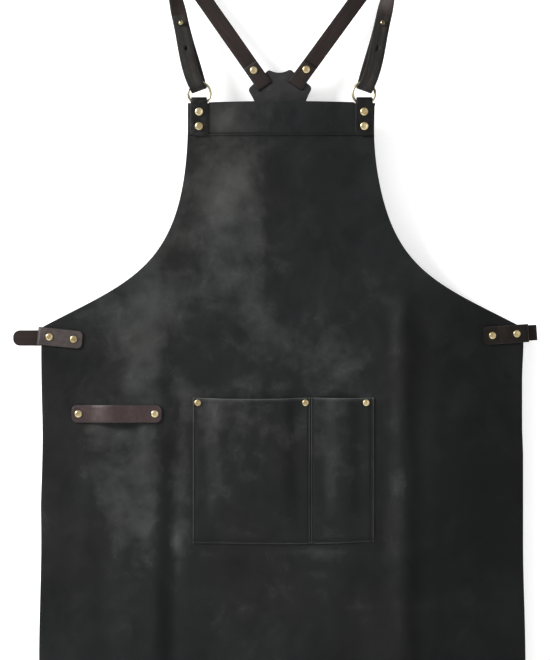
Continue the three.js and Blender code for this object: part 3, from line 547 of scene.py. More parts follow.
def show(name, mesh):
    mesh.shade_smooth()
    return add_object(name, mesh)


def enrol(piece, body, slot, *nodes):
    """Says which body a piece moves with and which solids it stands for; the slot is not used."""
    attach(piece, body)
    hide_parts(*nodes)


def strip(name, stations, thick, finishes, corner=0.55):
    """A strip of leather; finishes are its outer side's, its inner side's and its edges'."""
    stations = resample(stations)
    ends = [(0.0, corner * 0.9), (corner * 0.4, corner * 0.35)]
    rings = []
    for at_start in (True, False):
        end, nxt = (stations[0], stations[1]) if at_start else (stations[-1], stations[-2])
        inwards = (nxt.point - end.point).normalized()
        reach = (nxt.point - end.point).length
        tapered = [(end.but(point=end.point + inwards * min(d, reach * 0.4)), inset) for d, inset in ends]
        rings.append(tapered if at_start else tapered[::-1])
    body = [(s, 0.0) for s in stations[1:-1]]
    rings = [*rings[0], *body, *rings[1]]

    points, uvs, faces, sides = [], [], [], []
    run_length = 0.0
    last = None
    for s, inset in rings:
        run_length += (s.point - last).length if last else 0.0
        last = s.point
        for a, n, _ in section(s.width, thick, inset, corner):
            points.append(to_metres(s.point + s.across * a + s.normal * n))
            uvs.append((run_length * MM, a * MM))
    outline = [side for _, _, side in section(20, thick, 0, corner)]
    count = len(outline)
    for ring in range(len(rings) - 1):
        for k in range(count):
            a, b = ring * count + k, ring * count + (k + 1) % count
            faces.append((a, b, b + count, a + count))
            sides.append(outline[k])
    faces.append(tuple(range(count))[::-1])
    faces.append(tuple(range((len(rings) - 1) * count, len(rings) * count)))
    sides += [2, 2]
    mesh = bpy.data.meshes.new(name)
    mesh.from_pydata(points, [], faces)
    layer = mesh.uv_layers.new(name="UVMap")
    for loop in mesh.loops:
        layer.data[loop.index].uv = uvs[loop.vertex_index]
    for finish in finishes:
        mesh.materials.append(finish)
    for polygon, side in zip(mesh.polygons, sides):
        polygon.material_index = side
    closed_up(mesh)
    return show(name, mesh)


def apply_modifiers(shown, name=None):
    """The evaluated shape as a plain mesh, in place of the object's own."""
    graph = bpy.context.evaluated_depsgraph_get()
    mesh = bpy.data.meshes.new_from_object(shown.evaluated_get(graph))
    shown.modifiers.clear()
    if shown.type == "MESH":
        shown.data = mesh
        mesh.name = shown.name
        return shown
    made = show(name, mesh)
    bpy.data.objects.remove(shown)
    return made


def cut_holes(shown, cutters):
    """Cuts the cutters' shapes out of a piece, and removes the cutters."""
    for cutter in cutters:
        modifier = shown.modifiers.new("hole", "BOOLEAN")
        modifier.operation = "DIFFERENCE"
        modifier.solver = "EXACT"
        modifier.object = cutter
    apply_modifiers(shown)
    for cutter in cutters:
        bpy.data.objects.remove(cutter)


# %% [markdown]
# ## Layers
#
# What lies on what, in millimetres of depth. Touching layers keep a hair of air between them, as in
# the solid model, so that no two faces share a place.

# %% Depths of the layers
GAP = 0.3
HIDE = 2.0
BAND = 1.6
RING_TAB = 1.8
SIDE_TAB = 2.4
POCKET = 1.6
LOOP = 2.4
STRAP = 2.6
STRAP_WIDTH = 19.5
YOKE = 2.2
YOKE_FRONT = 6.5
STUD_FLANGE = 0.8
SIDE_STUD_FLANGE = 1.2

hide_front = -HIDE / 2
hide_back = HIDE / 2
band_front = hide_front - GAP - BAND
ring_tab_front = band_front - GAP - RING_TAB
ring_tab_back = hide_back + GAP + RING_TAB
ring_y = (ring_tab_front + ring_tab_back) / 2
side_tab_front = hide_front - GAP - SIDE_TAB
side_tab_back = hide_back + GAP + SIDE_TAB
pocket_front = hide_front - GAP - POCKET
loop_front = hide_front - GAP - LOOP
main_strap_y = (STRAP + GAP) / 2
free_strap_y = main_strap_y - STRAP - STUD_FLANGE - 3 * GAP
behind_yoke_y = YOKE_FRONT + YOKE + GAP + STRAP / 2
tail_y = YOKE_FRONT - GAP - STRAP / 2
riveted_y = tail_y + STRAP + GAP
lower_strap_y = side_tab_back + 2 * GAP + SIDE_STUD_FLANGE + STRAP / 2
tucked_y = lower_strap_y + STRAP + GAP
SIDES = {"left": -1, "right": 1}
print("layers from", round(free_strap_y - STRAP / 2, 2), "to", round(tucked_y + STRAP / 2, 2), "mm")

# %% [markdown]
# ## The hide
#
# The panel is one sheet, so it is a grid of rows and columns between its two side edges, bent a
# little out of flat. It has hung and been folded, so it carries long soft ridges down its length.
# They die out where something is sewn or riveted on, because there the panel lies against it.
# Solidify gives the sheet its thickness, and Bevel rounds its cut edge.

# %% The hide's outline
BIB_HALF = 117.0
BIB_STRAIGHT = 34.0
SIDE_TOP = 279.5
BODY_HALF = 299.4
CROWN = 2.6
HEM_RADIUS = 10.0
ARM_UPPER_LEAN, ARM_UPPER_RUN = 4.5, 174
ARM_LOWER_RUN, ARM_LOWER_RISE = 109.5, 58.5
RING_X, RING_Z, RING_RADIUS, RING_WIRE = 102.4, 12.0, 13.9, 1.6


def armhole_table():
    corners = [
        (BIB_HALF, -BIB_STRAIGHT),
        (BIB_HALF + ARM_UPPER_LEAN, -BIB_STRAIGHT - ARM_UPPER_RUN),
        (BODY_HALF - ARM_LOWER_RUN, -SIDE_TOP + ARM_LOWER_RISE),
        (BODY_HALF, -SIDE_TOP),
    ]
    curve = cubic(*np.array(corners), np.linspace(0, 1, 400)[:, None])
    return curve[:, 0], curve[:, 1]


ARM_X, ARM_Z = armhole_table()


def half_width(z):
    """How far the hide reaches from its centre line at a height, before its edges wander."""
    reach = np.interp(-z, -ARM_Z, ARM_X)
    foot = np.clip(z + HIDE_LENGTH, 0, HEM_RADIUS)
    rounding = HEM_RADIUS - np.sqrt(np.maximum(HEM_RADIUS**2 - (HEM_RADIUS - foot) ** 2, 0))
    return reach - rounding


def bell(value, centre, spread):
    return np.exp(-(((value - centre) / spread) ** 2))


def ease(value, low, high):
    t = np.clip((value - low) / (high - low), 0, 1)
    return t * t * (3 - 2 * t)


def left_edge(z):
    wander = 1.7 * bell(z, -415, 55) - 2.6 * ease(-z, 545, 690) - 0.5 * bell(z, -500, 22)
    return -half_width(z) + wander


def right_edge(z):
    wander = 1.6 * bell(z, -300, 26) + 1.2 * ease(-z, 400, 440) + 3.0 * ease(-z, 545, 700)
    return half_width(z) + wander - 2.0 * bell(z, -50, 60) * (z < 0)


def top_edge(x):
    """The bib's top: a low crown, notched where the rings hang through their tabs."""
    crown = CROWN * (1 - (x / BIB_HALF) ** 2)
    clear = RING_RADIUS + RING_WIRE + 0.7
    off = np.abs(np.abs(x) - RING_X)
    notch = RING_Z - np.sqrt(np.maximum(clear**2 - off**2, 0))
    return np.where(off < clear, np.minimum(crown, notch), crown)


# %% [markdown]
# The ridges are a few long soft waves with their own places and widths, plus a slow roll from a
# noise with a fixed pattern, and two creases across the lower half. A mask holds them at nothing
# round the band, the tabs, the loop and the pockets.


# %% The hide's ridges
RIDGES = [  # x at the top, x at the hem, half-breadth, rise towards the viewer, from z, to z
    (-150, -158, 13, 1.5, -300, -760),
    (-176, -196, 26, 1.8, -215, -760),
    (-128, -137, 10, -1.0, -330, -780),
    (150, 152, 11, 1.7, -215, -700),
    (176, 170, 16, -1.4, -225, -790),
    (128, 124, 12, -0.8, -420, -640),
    (-24, -18, 15, 0.5, -60, -330),
    (-60, -66, 22, 0.8, -60, -320),
    (58, 64, 20, 0.7, -70, -330),
    (232, 240, 26, 1.1, -330, -800),
    (-236, -250, 20, 1.0, -420, -800),
    (20, 10, 34, 1.2, -600, -830),
    (96, 90, 22, -0.9, -590, -830),
    (-80, -84, 26, -0.9, -590, -830),
]
RIDGE_SHARE = 2.2
POCKET_LEFT, POCKET_RIGHT, POCKET_TOP, POCKET_BOTTOM = -110.4, 114.9, -368.0, -548.5
CREASES = [  # z, half-breadth, rise, then x where it fades in and x where it fades out
    (-557, 3.5, 1.1, (-130, -60), (190, 260)),
    (-627, 4.5, 0.8, (-60, 10), (400, 470)),
]
HELD_FLAT = [  # left, right, low, high, margin, fade
    (-125, 125, -42, 10, 6, 26),  # the band and the ring tabs
    (POCKET_LEFT, POCKET_RIGHT, POCKET_BOTTOM, POCKET_TOP, 1.0, 12),
    (-262, -149, -399, -375, 3, 18),  # the towel loop
    (-330, -246, -303, -276, 3, 22),  # the side tabs
    (250, 330, -300, -272, 3, 22),
]


def box_mask(x, z, left, right, low, high, margin, fade):
    """0 inside a box and up to a margin from it, rising to 1 over the fade beyond that."""
    dx = np.maximum(np.maximum(left - x, x - right), 0)
    dz = np.maximum(np.maximum(low - z, z - high), 0)
    return ease(np.hypot(dx, dz), margin, margin + fade)


def slow_noise(x, z, size, seed):
    flat_x, flat_z = np.ravel(x), np.ravel(z)
    values = [noise.noise(Vector((a / size, b / size, seed))) for a, b in zip(flat_x, flat_z)]
    return np.array(values).reshape(np.shape(x))


def hide_roll(x, z):
    """How far the hide's middle stands behind its flat place, in millimetres."""
    x, z = np.asarray(x, float), np.asarray(z, float)
    roll = np.zeros_like(x)
    for top_x, low_x, breadth, rise, start, stop in RIDGES:
        share = np.clip((start - z) / (start - stop), 0, 1)
        middle = top_x + (low_x - top_x) * share
        length = ease(-z, -start, -start + 60) * (1 - ease(-z, -stop - 50, -stop))
        roll -= RIDGE_SHARE * rise * bell(x, middle, breadth) * length
    roll += 1.1 * slow_noise(x, z, 120, 3.3) + 0.45 * slow_noise(x, z, 45, 8.1)
    for at, breadth, rise, fade_in, fade_out in CREASES:
        roll -= rise * bell(z, at, breadth) * ease(x, *fade_in) * (1 - ease(x, *fade_out))
    for box in HELD_FLAT:
        roll *= box_mask(x, z, *box)
    return roll


def spaced(low, high, step):
    return np.linspace(low, high, max(int(round((high - low) / step)), 1) + 1)


def sheet(name, x, y, z, thick, rounding, finishes):
    """A grid of points, then its thickness and its rounded edge, as a plain mesh."""
    rows, columns = x.shape
    points = [to_metres(p) for p in zip(x.ravel(), y.ravel(), z.ravel())]
    corners = [j * columns + i for j in range(rows - 1) for i in range(columns - 1)]
    mesh = bpy.data.meshes.new(name)
    mesh.from_pydata(points, [], [(a, a + 1, a + 1 + columns, a + columns) for a in corners])
    for finish in finishes:
        mesh.materials.append(finish)
    shown = show(name, mesh)
    solid = shown.modifiers.new("thickness", "SOLIDIFY")
    solid.thickness = thick * MM
    solid.offset = 0
    solid.material_offset_rim = 1
    edge = shown.modifiers.new("edge", "BEVEL")
    edge.width = rounding * MM
    edge.segments = 2
    edge.limit_method = "ANGLE"
    edge.angle_limit = math.radians(55)
    apply_modifiers(shown)
    closed_up(shown.data)
    shown.data.shade_smooth()
    print(name, len(shown.data.polygons), "faces")
    return shown


TOP_FADE = 45  # the rows follow the crown of the bib's top over this distance


def panel_sheet(name, columns, rows, left, right, depth, thick):
    """A sheet between two side edges, whose top follows the bib's top edge."""
    z = np.repeat(rows[:, None], len(columns), 1)
    x = left(z) + (right(z) - left(z)) * columns[None, :]
    highest = rows[-1]
    z = z + ease(z, highest - TOP_FADE, highest) * (top_edge(x) - highest)
    return sheet(name, x, depth(x, z), z, thick, 0.42, [panel_hide, cut_edge])


# %% [markdown]
# Where the hide has been rubbed and bent it has gone pale, and the waxed parts stay dark. These
# patches are listed like a painter's notes: where, how broad, how strong. The leather
# recipe breaks them up with its own clouds, so none of them reads as a spot.
# Not all of them are wear: the dark patch just below the left side tab is a painted shadow.

# %% The hide's rubbed patches, with painted light and shade
WEAR_AND_PAINTED_LIGHT_PATCHES = [  # x, z, breadth, height, strength
    (-64, -104, 30, 36, 0.34),
    (-84, -122, 17, 15, 0.16),
    (-48, -92, 7, 12, 0.22),
    (-34, -60, 40, 14, 0.10),
    (-72, -22, 22, 12, 0.16),
    (-58, -180, 24, 50, 0.12),
    (-66, -228, 20, 26, 0.14),
    (30, -72, 18, 12, 0.10),
    (-166, -268, 20, 36, 0.26),
    (-190, -304, 34, 24, 0.24),
    (-160, -340, 24, 26, 0.16),
    (-192, -352, 16, 12, 0.14),
    (-172, -432, 14, 44, 0.22),
    (-196, -470, 30, 30, 0.16),
    (-232, -456, 26, 34, 0.08),
    (-170, -532, 14, 10, 0.26),
    (-132, -546, 3.5, 9, 0.34),
    (-128, -580, 4, 30, 0.14),
    (-206, -520, 36, 30, 0.14),
    (-236, -600, 34, 26, 0.10),
    (-180, -650, 30, 30, 0.10),
    (-60, -356, 20, 9, 0.16),
    (-10, -352, 60, 12, 0.10),
    (10, -300, 50, 40, 0.07),
    (142, -330, 9, 80, 0.14),
    (150, -470, 14, 70, 0.10),
    (146, -560, 22, 10, 0.20),
    (120, -230, 20, 30, 0.08),
    (164, -205, 12, 10, 0.22),
    (214, -372, 8, 14, 0.18),
    (-20, -630, 60, 14, 0.08),
    (40, -560, 80, 5, 0.16),
    (150, -628, 120, 5, 0.12),
    (24, -660, 24, 16, 0.14),
    (-40, -470, 34, 22, 0.12),
    (70, -478, 14, 22, 0.12),
    # a painted shadow below the left side tab
    (-258, -322, 30, 14, -0.20),
    (-270, -420, 22, 90, -0.10),
    (-146, -430, 7, 120, -0.10),
    (-148, -620, 9, 90, -0.20),
    (60, -120, 60, 90, -0.10),
    (200, -420, 34, 180, -0.16),
    (262, -520, 50, 240, -0.18),
    (180, -640, 30, 120, -0.14),
    (-10, -470, 60, 60, -0.06),
    (96, -590, 30, 40, -0.08),
    (-244, -640, 60, 70, -0.16),
    (10, -700, 170, 90, -0.10),
    (-126, -470, 10, 60, 0.12),
]
HIDE_TONE = 0.41
PALE_SHARE, DARK_SHARE = 0.55, 1.0


def hide_tone(x, z):
    tone = np.full(np.shape(x), HIDE_TONE)
    for px, pz, breadth, height, strength in WEAR_AND_PAINTED_LIGHT_PATCHES:
        share = PALE_SHARE if strength > 0 else DARK_SHARE
        tone += share * strength * bell(x, px, breadth * 1.2) * bell(z, pz, height * 1.2)
    # Painted light: the hide is paler left of the ridge near x = −21, down to about z = −300.
    tone += 0.05 * (1 - ease(x, -24, -17)) * (1 - ease(-z, 220, 330))
    # Painted shade: darker right of the fold near x = 160, below about z = −230.
    tone -= 0.14 * ease(x, 150, 172) * ease(-z, 200, 260)
    # Painted light: the whole hide is paler towards the left, where the key light stands.
    tone += 0.05 * (1 - ease(x, -200, 260))
    return tone


def set_tone(shown, tone):
    co = np.zeros(len(shown.data.vertices) * 3, np.float32)
    shown.data.vertices.foreach_get("co", co)
    co = co.reshape(-1, 3) / MM - np.array(BIB_TOP)
    values = tone(co[:, 0], co[:, 2]).astype(np.float32)
    layer = shown.data.attributes.new("tone", "FLOAT", "POINT")
    layer.data.foreach_set("value", values)


CORNER_FROM, CORNER_TO = -284, -240  # the side corners need closer rows than the rest
hide_rows = [
    spaced(-HIDE_LENGTH, -HIDE_LENGTH + HEM_RADIUS, 1.6)[:-1],
    spaced(-HIDE_LENGTH + HEM_RADIUS, CORNER_FROM, 4.6)[:-1],
    spaced(CORNER_FROM, CORNER_TO, 2.0)[:-1],
    spaced(CORNER_TO, 0, 4.0),
]
hide_rows = np.concatenate(hide_rows)
hide_columns = spaced(0, 1, 1 / 132)
apron_hide = panel_sheet("apron_hide", hide_columns, hide_rows, left_edge, right_edge, hide_roll, HIDE)
set_tone(apron_hide, hide_tone)
enrol(apron_hide, "apron", "panel_leather", "apron_panel")

# %% [markdown]
# ## The band and the pockets
#
# The bib's top is faced with a band whose lower edge is sewn. The two pockets are leaves sewn on
# three sides, with their mouths standing off the hide. Sewing pulls leather down into a narrow
# groove, so the grids have rows and columns right at the seam, and those points are pressed in.


# %% The band
def with_groove(low, high, step, grooves, half=0.9):
    """Grid lines from low to high, with extra ones at each groove."""
    lines = list(spaced(low, high, step))
    for at in grooves:
        lines = [v for v in lines if abs(v - at) > half * 1.7]
        lines += [at - half * 1.3, at - half * 0.6, at, at + half * 0.6, at + half * 1.3]
    return np.array(sorted(v for v in lines if low - 1e-6 <= v <= high + 1e-6))


BAND_HEIGHT = 40.0
BAND_SEAM = -BAND_HEIGHT + 2.4
BAND_INSET = 0.4


def band_depth(x, z):
    y = np.full(np.shape(x), band_front + BAND / 2)
    return y + 0.45 * bell(z, BAND_SEAM, 0.7) - 0.1 * bell(z, BAND_SEAM + 3, 2)


# Painted shade darkens the band along the groove of its seam.
def band_tone(x, z):
    return hide_tone(x, z) + 0.02 - 0.3 * bell(z, BAND_SEAM, 0.8)


band = panel_sheet(
    "bib_facing",
    spaced(0, 1, 1 / 60),
    with_groove(-BAND_HEIGHT, 0, 3.2, [BAND_SEAM]),
    lambda z: left_edge(z) + BAND_INSET,
    lambda z: right_edge(z) - BAND_INSET,
    band_depth,
    BAND,
)
set_tone(band, band_tone)
enrol(band, "apron", "panel_leather", "bib_band")

# %% [markdown]
# The pocket leaves start from the same bowed shape as their solids: flat where they are sewn, and
# standing off by about six millimetres in the middle. Their bottom edge runs a little uneven.

# %% The pocket leaves
POCKET_BULGE, POCKET_FLAT, POCKET_RISE = 5.6, 14.0, 21.0
LEAVES = {
    "large": {"left": POCKET_LEFT, "right": 35.4, "sag": 1.8, "seams": (3.0, 2.4)},
    "small": {"left": 36.9, "right": POCKET_RIGHT, "sag": 0.8, "seams": (2.2, 3.4)},
}
BOTTOM_SEAM = 3.0
MOUTH_RISE = 1.5
RIM = 0.7  # how far the pale rim of a pocket, a painted highlight, reaches onto its face


def pocket_bottom(x):
    """The sewn bottom edge: level on the left, and rising slightly to the right corner."""
    return POCKET_BOTTOM + 1.0 - 1.4 * bell(x, 0, 70) + 1.6 * ease(x, 60, 115)


def pocket_leaf(name, left, right, sag, seams):
    width = right - left
    seam_left, seam_right = left + seams[0], right - seams[1]
    leaf_height = POCKET_TOP - POCKET_BOTTOM
    across_lines = with_groove(left, right, 4.2, [seam_left, seam_right])
    across_lines = np.sort([*across_lines, left + RIM, left + 2 * RIM, right - RIM, right - 2 * RIM])
    u = (across_lines - left) / width
    t = with_groove(0, 1, 4.2 / leaf_height, [BOTTOM_SEAM / leaf_height], half=0.9 / leaf_height)
    t = np.sort([*t, RIM / leaf_height, 1 - RIM / leaf_height, 1 - 2 * RIM / leaf_height])

    def depth(x, z):
        from_side = np.minimum(x - left, right - x)
        low = pocket_bottom(x)
        full = POCKET_FLAT + POCKET_RISE
        lift = ease(from_side, POCKET_FLAT, full) * ease(z - low, POCKET_FLAT, full * 1.5)
        y = pocket_front + POCKET / 2 - POCKET_BULGE * lift
        groove = bell(x, seam_left, 0.8) + bell(x, seam_right, 0.8) + bell(z, low + BOTTOM_SEAM, 0.8)
        return y + 0.5 * np.clip(groove, 0, 1) - 0.5 * lift * (1 + slow_noise(x, z, 34, 5.5))

    x = left + width * u[None, :] + 0 * t[:, None]
    across = (x - left) / width
    high = POCKET_TOP + MOUTH_RISE - sag * 4 * across * (1 - across)
    low = pocket_bottom(x)
    z = low + (high - low) * t[:, None]
    leaf = sheet(name, x, depth(x, z), z, POCKET, 0.35, [panel_hide, pocket_edge])

    # Painted shade darkens the seam grooves. A painted highlight pales the rim along the edges, most of all
    # along the mouth, where the top edge catches the light.
    def tone(px, pz):
        groove = bell(px, seam_left, 0.9) + bell(px, seam_right, 0.9)
        groove += bell(pz, pocket_bottom(px) + BOTTOM_SEAM, 0.9)
        to_edge = np.minimum(np.minimum(px - left, right - px), pz - pocket_bottom(px))
        from_mouth = POCKET_TOP + MOUTH_RISE - sag * 4 * (px - left) * (right - px) / width**2 - pz
        wear_and_painted_light = 0.22 * bell(to_edge, 0, 1.1) + 0.5 * bell(from_mouth, 0, 1.2)
        return hide_tone(px, pz) + 0.03 + wear_and_painted_light - 0.35 * np.clip(groove, 0, 1)

    set_tone(leaf, tone)
    enrol(leaf, "apron", "panel_leather", name.replace("leaf", "pocket"))


for which, leaf_sizes in LEAVES.items():
    pocket_leaf("leaf_" + which, **leaf_sizes)

# %% [markdown]
# ## Sewing
#
# A stitch is a short length of thread that repeats along a seam. Geometry Nodes sets one small
# capsule at even steps along each seam's curve and turns it to follow the curve. The seams lie in
# the grooves just made, so the thread sits below the leather's face as it should.


# %% A tree that sews along curves
def new_tree(name, sockets):
    tree = bpy.data.node_groups.new(name, "GeometryNodeTree")
    tree.interface.new_socket("Geometry", in_out="INPUT", socket_type="NodeSocketGeometry")
    for label, kind in sockets:
        tree.interface.new_socket(label, in_out="INPUT", socket_type="NodeSocket" + kind)
    tree.interface.new_socket("Geometry", in_out="OUTPUT", socket_type="NodeSocketGeometry")
    return tree, Graph(tree)


def finish_tree(graph, geometry, material):
    solid = graph.add("GeometryNodeRealizeInstances", {"Geometry": geometry}).outputs[0]
    solid = graph.add("GeometryNodeSetMaterial", {"Geometry": solid, "Material": material}).outputs[0]
    graph.add("NodeGroupOutput", {"Geometry": solid})


def run_tree(shown, tree, values, name):
    """Runs a tree on an object with its inputs set, and returns a plain mesh piece."""
    modifier = shown.modifiers.new(tree.name, "NODES")
    modifier.node_group = tree
    for item in tree.interface.items_tree:
        if item.item_type == "SOCKET" and item.in_out == "INPUT" and item.name in values:
            modifier[item.identifier] = values[item.name]
    graph = bpy.context.evaluated_depsgraph_get()
    mesh = bpy.data.meshes.new_from_object(shown.evaluated_get(graph))
    bpy.data.objects.remove(shown)
    mesh.name = name
    closed_up(mesh)
    return show(name, mesh)


sockets = [("Step", "Float"), ("Length", "Float"), ("Thickness", "Float"), ("Material", "Material")]
sewing, g = new_tree("sewing", sockets)
given = g.add("NodeGroupInput").outputs
inputs = {"Curve": given["Geometry"], "Length": given["Step"]}
points = g.add("GeometryNodeResampleCurve", inputs, mode="LENGTH").outputs[0]
bead = g.add("GeometryNodeMeshUVSphere", {"Segments": 8, "Rings": 5, "Radius": 0.5}).outputs["Mesh"]
tangent = g.add("GeometryNodeInputTangent").outputs[0]
turn = g.add("FunctionNodeAlignRotationToVector", {"Vector": tangent}, axis="X").outputs[0]
inputs = {"X": given["Length"], "Y": given["Thickness"], "Z": given["Thickness"]}
size = g.add("ShaderNodeCombineXYZ", inputs).outputs[0]
inputs = {"Points": points, "Instance": bead, "Rotation": turn, "Scale": size}
stitches = g.add("GeometryNodeInstanceOnPoints", inputs).outputs[0]
finish_tree(g, stitches, given["Material"])


def curves(name, lines):
    """A curve object with one open polyline for each list of points in millimetres."""
    data = bpy.data.curves.new(name, "CURVE")
    data.dimensions = "3D"
    for line in lines:
        spline = data.splines.new("POLY")
        spline.points.add(len(line) - 1)
        for point, place in zip(spline.points, line):
            point.co = (*to_metres(place), 1)
    return add_object(name, data)


SEAM_TOP = POCKET_TOP - 12  # the pockets' side seams start below the rivets
THREAD_PROUD = 0.05
seam_y = pocket_front + 0.5 - THREAD_PROUD
seam_lines = []
for sizes in LEAVES.values():
    seam_ends = (sizes["left"] + sizes["seams"][0], sizes["right"] - sizes["seams"][1])
    for x in seam_ends:
        drop = (SEAM_TOP - pocket_bottom(x) - BOTTOM_SEAM) / 12
        seam_lines.append([(x, seam_y, SEAM_TOP - k * drop) for k in range(13)])
    across = np.linspace(*seam_ends, 20)
    seam_lines.append([(x, seam_y, pocket_bottom(x) + BOTTOM_SEAM) for x in across])
across = np.linspace(-113, 113, 12)
seam_lines.append([(x, band_front + 0.45 - THREAD_PROUD, BAND_SEAM) for x in across])
stitch = {"Step": 2.9 * MM, "Length": 2.3 * MM, "Thickness": 0.55 * MM, "Material": thread}
sewn = run_tree(curves("seams", seam_lines), sewing, stitch, "stitches")
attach(sewn, "apron")
BEAD_FACES = 40
print("stitches", len(sewn.data.polygons) // BEAD_FACES)

# %% [markdown]
# ## Turned metal
#
# Rivets, studs and rings are turned or bent from round stock. A turned piece is a profile spun about
# the y axis. The rivets are alike apart from their size, so Geometry Nodes sets a cap in front and a
# post's end behind at each of a few points, whose attributes give their sizes.


# %% Spinning a profile
def turned_mesh(name, profile, steps):
    """A profile of (radius, y) in millimetres from pole to pole, spun about the y axis."""
    points, faces = [], []
    rings = [p for p in profile if p[0] > 0]
    first, last = profile[0], profile[-1]
    points.append((0, first[1] * MM, 0))
    for radius, y in rings:
        for k in range(steps):
            angle = 2 * math.pi * k / steps
            points.append((radius * MM * math.cos(angle), y * MM, radius * MM * math.sin(angle)))
    points.append((0, last[1] * MM, 0))
    end = len(points) - 1
    for k in range(steps):
        nxt = (k + 1) % steps
        faces.append((0, 1 + k, 1 + nxt))
        for j in range(len(rings) - 1):
            a, b = 1 + j * steps, 1 + (j + 1) * steps
            faces.append((a + k, b + k, b + nxt, a + nxt))
        tail = 1 + (len(rings) - 1) * steps
        faces.append((end, tail + nxt, tail + k))
    mesh = bpy.data.meshes.new(name)
    mesh.from_pydata(points, [], faces)
    closed_up(mesh)
    return mesh


# %% [markdown]
# The cap and the post are made once at the origin. The tree scales the cap by each point's own
# radius, and sets the post's end at the depth that the point's other attribute gives.

# %% A tree that sets rivets
CAP_PROFILE = [  # a cap of radius 1, from its rim to its crown
    (0, 0),
    (0.93, 0.0),
    (1.0, -0.05),
    (1.0, -0.12),
    (0.97, -0.19),
    (0.88, -0.26),
    (0.72, -0.31),
    (0.5, -0.345),
    (0.25, -0.36),
    (0, -0.365),
]
POST_PROFILE = [  # the hidden shank, then the set end with its dimple
    (0, -1.0),
    (1.5, -1.0),
    (1.5, 0.0),
    (3.7, 0.0),
    (4.0, 0.25),
    (3.9, 0.6),
    (3.2, 0.85),
    (1.6, 0.9),
    (1.2, 0.6),
    (0, 0.5),
]
cap_source = bpy.data.objects.new("cap_source", turned_mesh("cap_source", CAP_PROFILE, 40))
post_source = bpy.data.objects.new("post_source", turned_mesh("post_source", POST_PROFILE, 32))

sockets = [("Cap", "Object"), ("Post", "Object"), ("Material", "Material")]
setting, g = new_tree("rivet_setting", sockets)
given = g.add("NodeGroupInput").outputs
cap = g.add("GeometryNodeObjectInfo", {"Object": given["Cap"]}).outputs["Geometry"]
post = g.add("GeometryNodeObjectInfo", {"Object": given["Post"]}).outputs["Geometry"]
radius = g.add("GeometryNodeInputNamedAttribute", {"Name": "radius"}, data_type="FLOAT").outputs[0]
depth = g.add("GeometryNodeInputNamedAttribute", {"Name": "depth"}, data_type="FLOAT").outputs[0]
inputs = {"Points": given["Geometry"], "Instance": cap, "Scale": radius}
caps = g.add("GeometryNodeInstanceOnPoints", inputs).outputs[0]
backwards = g.add("ShaderNodeCombineXYZ", {"Y": depth}).outputs[0]
moved = g.add("GeometryNodeSetPosition", {"Geometry": given["Geometry"], "Offset": backwards}).outputs[0]
posts = g.add("GeometryNodeInstanceOnPoints", {"Points": moved, "Instance": post}).outputs[0]
joined = g.add("GeometryNodeJoinGeometry")
g.tree.links.new(caps, joined.inputs[0])
g.tree.links.new(posts, joined.inputs[0])
finish_tree(g, joined.outputs[0], given["Material"])


def rivet_points(name, rows):
    """Points with a cap radius and the depth of the layers they hold, from (x, z, front, back, radius)."""
    mesh = bpy.data.meshes.new(name)
    mesh.from_pydata([to_metres((x, front - GAP, z)) for x, z, front, _, _ in rows], [], [])
    cap_radius = mesh.attributes.new("radius", "FLOAT", "POINT")
    cap_radius.data.foreach_set("value", [row[4] for row in rows])
    depths = mesh.attributes.new("depth", "FLOAT", "POINT")
    depths.data.foreach_set("value", [(row[3] - row[2] + 2 * GAP) * MM for row in rows])
    return add_object(name, mesh)


def set_rivets(name, rows, body, nodes):
    values = {"Cap": cap_source, "Post": post_source, "Material": rivet_brass}
    made = run_tree(rivet_points(name + "_points", rows), setting, values, name)
    enrol(made, body, "rivet_brass", *nodes)
    print(name, len(rows), "rivets")


# %% [markdown]
# ## Ring tabs and rings
#
# Each ring hangs in a tab that folds over the bib's edge and is riveted through. The rings are bent
# wire: a circle with a round section, which Geometry Nodes makes from two curves.

# %% The ring tabs
RING_TAB_X, RING_TAB_TOP, RING_TAB_LENGTH = 102.8, 7.5, 40.5
RING_TAB_WIDTH, RING_TAB_FOLD_WIDTH, RING_TAB_ROUND = 22, 19.6, 5
RING_TAB_RIVETS = (10.8, 28.8)

for name, side in SIDES.items():
    radius = (ring_tab_back - ring_tab_front - RING_TAB) / 2
    centre_z = RING_TAB_TOP - radius - RING_TAB / 2
    x = side * RING_TAB_X
    front_y, back_y = ring_tab_front + RING_TAB / 2, ring_tab_back - RING_TAB / 2
    front = [Vector((x, front_y, z)) for z in (-RING_TAB_LENGTH, -1, centre_z)]
    back = [Vector((x, back_y, z)) for z in (-1, -RING_TAB_LENGTH)]
    stations = [
        *run(front[0], UP, front[1], UP, TO_VIEWER, RING_TAB_WIDTH, 8),
        *fold(front[2], UP, DOWN, FROM_VIEWER, radius, TO_VIEWER, RING_TAB_FOLD_WIDTH, 14),
        *run(back[0], DOWN, back[1], DOWN, FROM_VIEWER, RING_TAB_WIDTH, 8),
    ]
    stations = rounded_ends(stations, RING_TAB_ROUND)
    tab = strip("tab_of_ring_" + name, stations, RING_TAB, [tab_hide, strap_flesh, cut_edge], corner=0.5)
    enrol(tab, "apron", "tab_leather", "ring_tab_" + name)

# %% The rings
bending, g = new_tree("bent_ring", [("Radius", "Float"), ("Wire", "Float"), ("Material", "Material")])
given = g.add("NodeGroupInput").outputs
circle = g.add("GeometryNodeCurvePrimitiveCircle", {"Resolution": 96, "Radius": given["Radius"]}).outputs[0]
wire = g.add("GeometryNodeCurvePrimitiveCircle", {"Resolution": 20, "Radius": given["Wire"]}).outputs[0]
bent = g.add("GeometryNodeCurveToMesh", {"Curve": circle, "Profile Curve": wire}).outputs[0]
inputs = {"Geometry": bent, "Rotation": Euler((math.pi / 2, 0, 0))}
upright = g.add("GeometryNodeTransform", inputs).outputs[0]
finish_tree(g, upright, given["Material"])

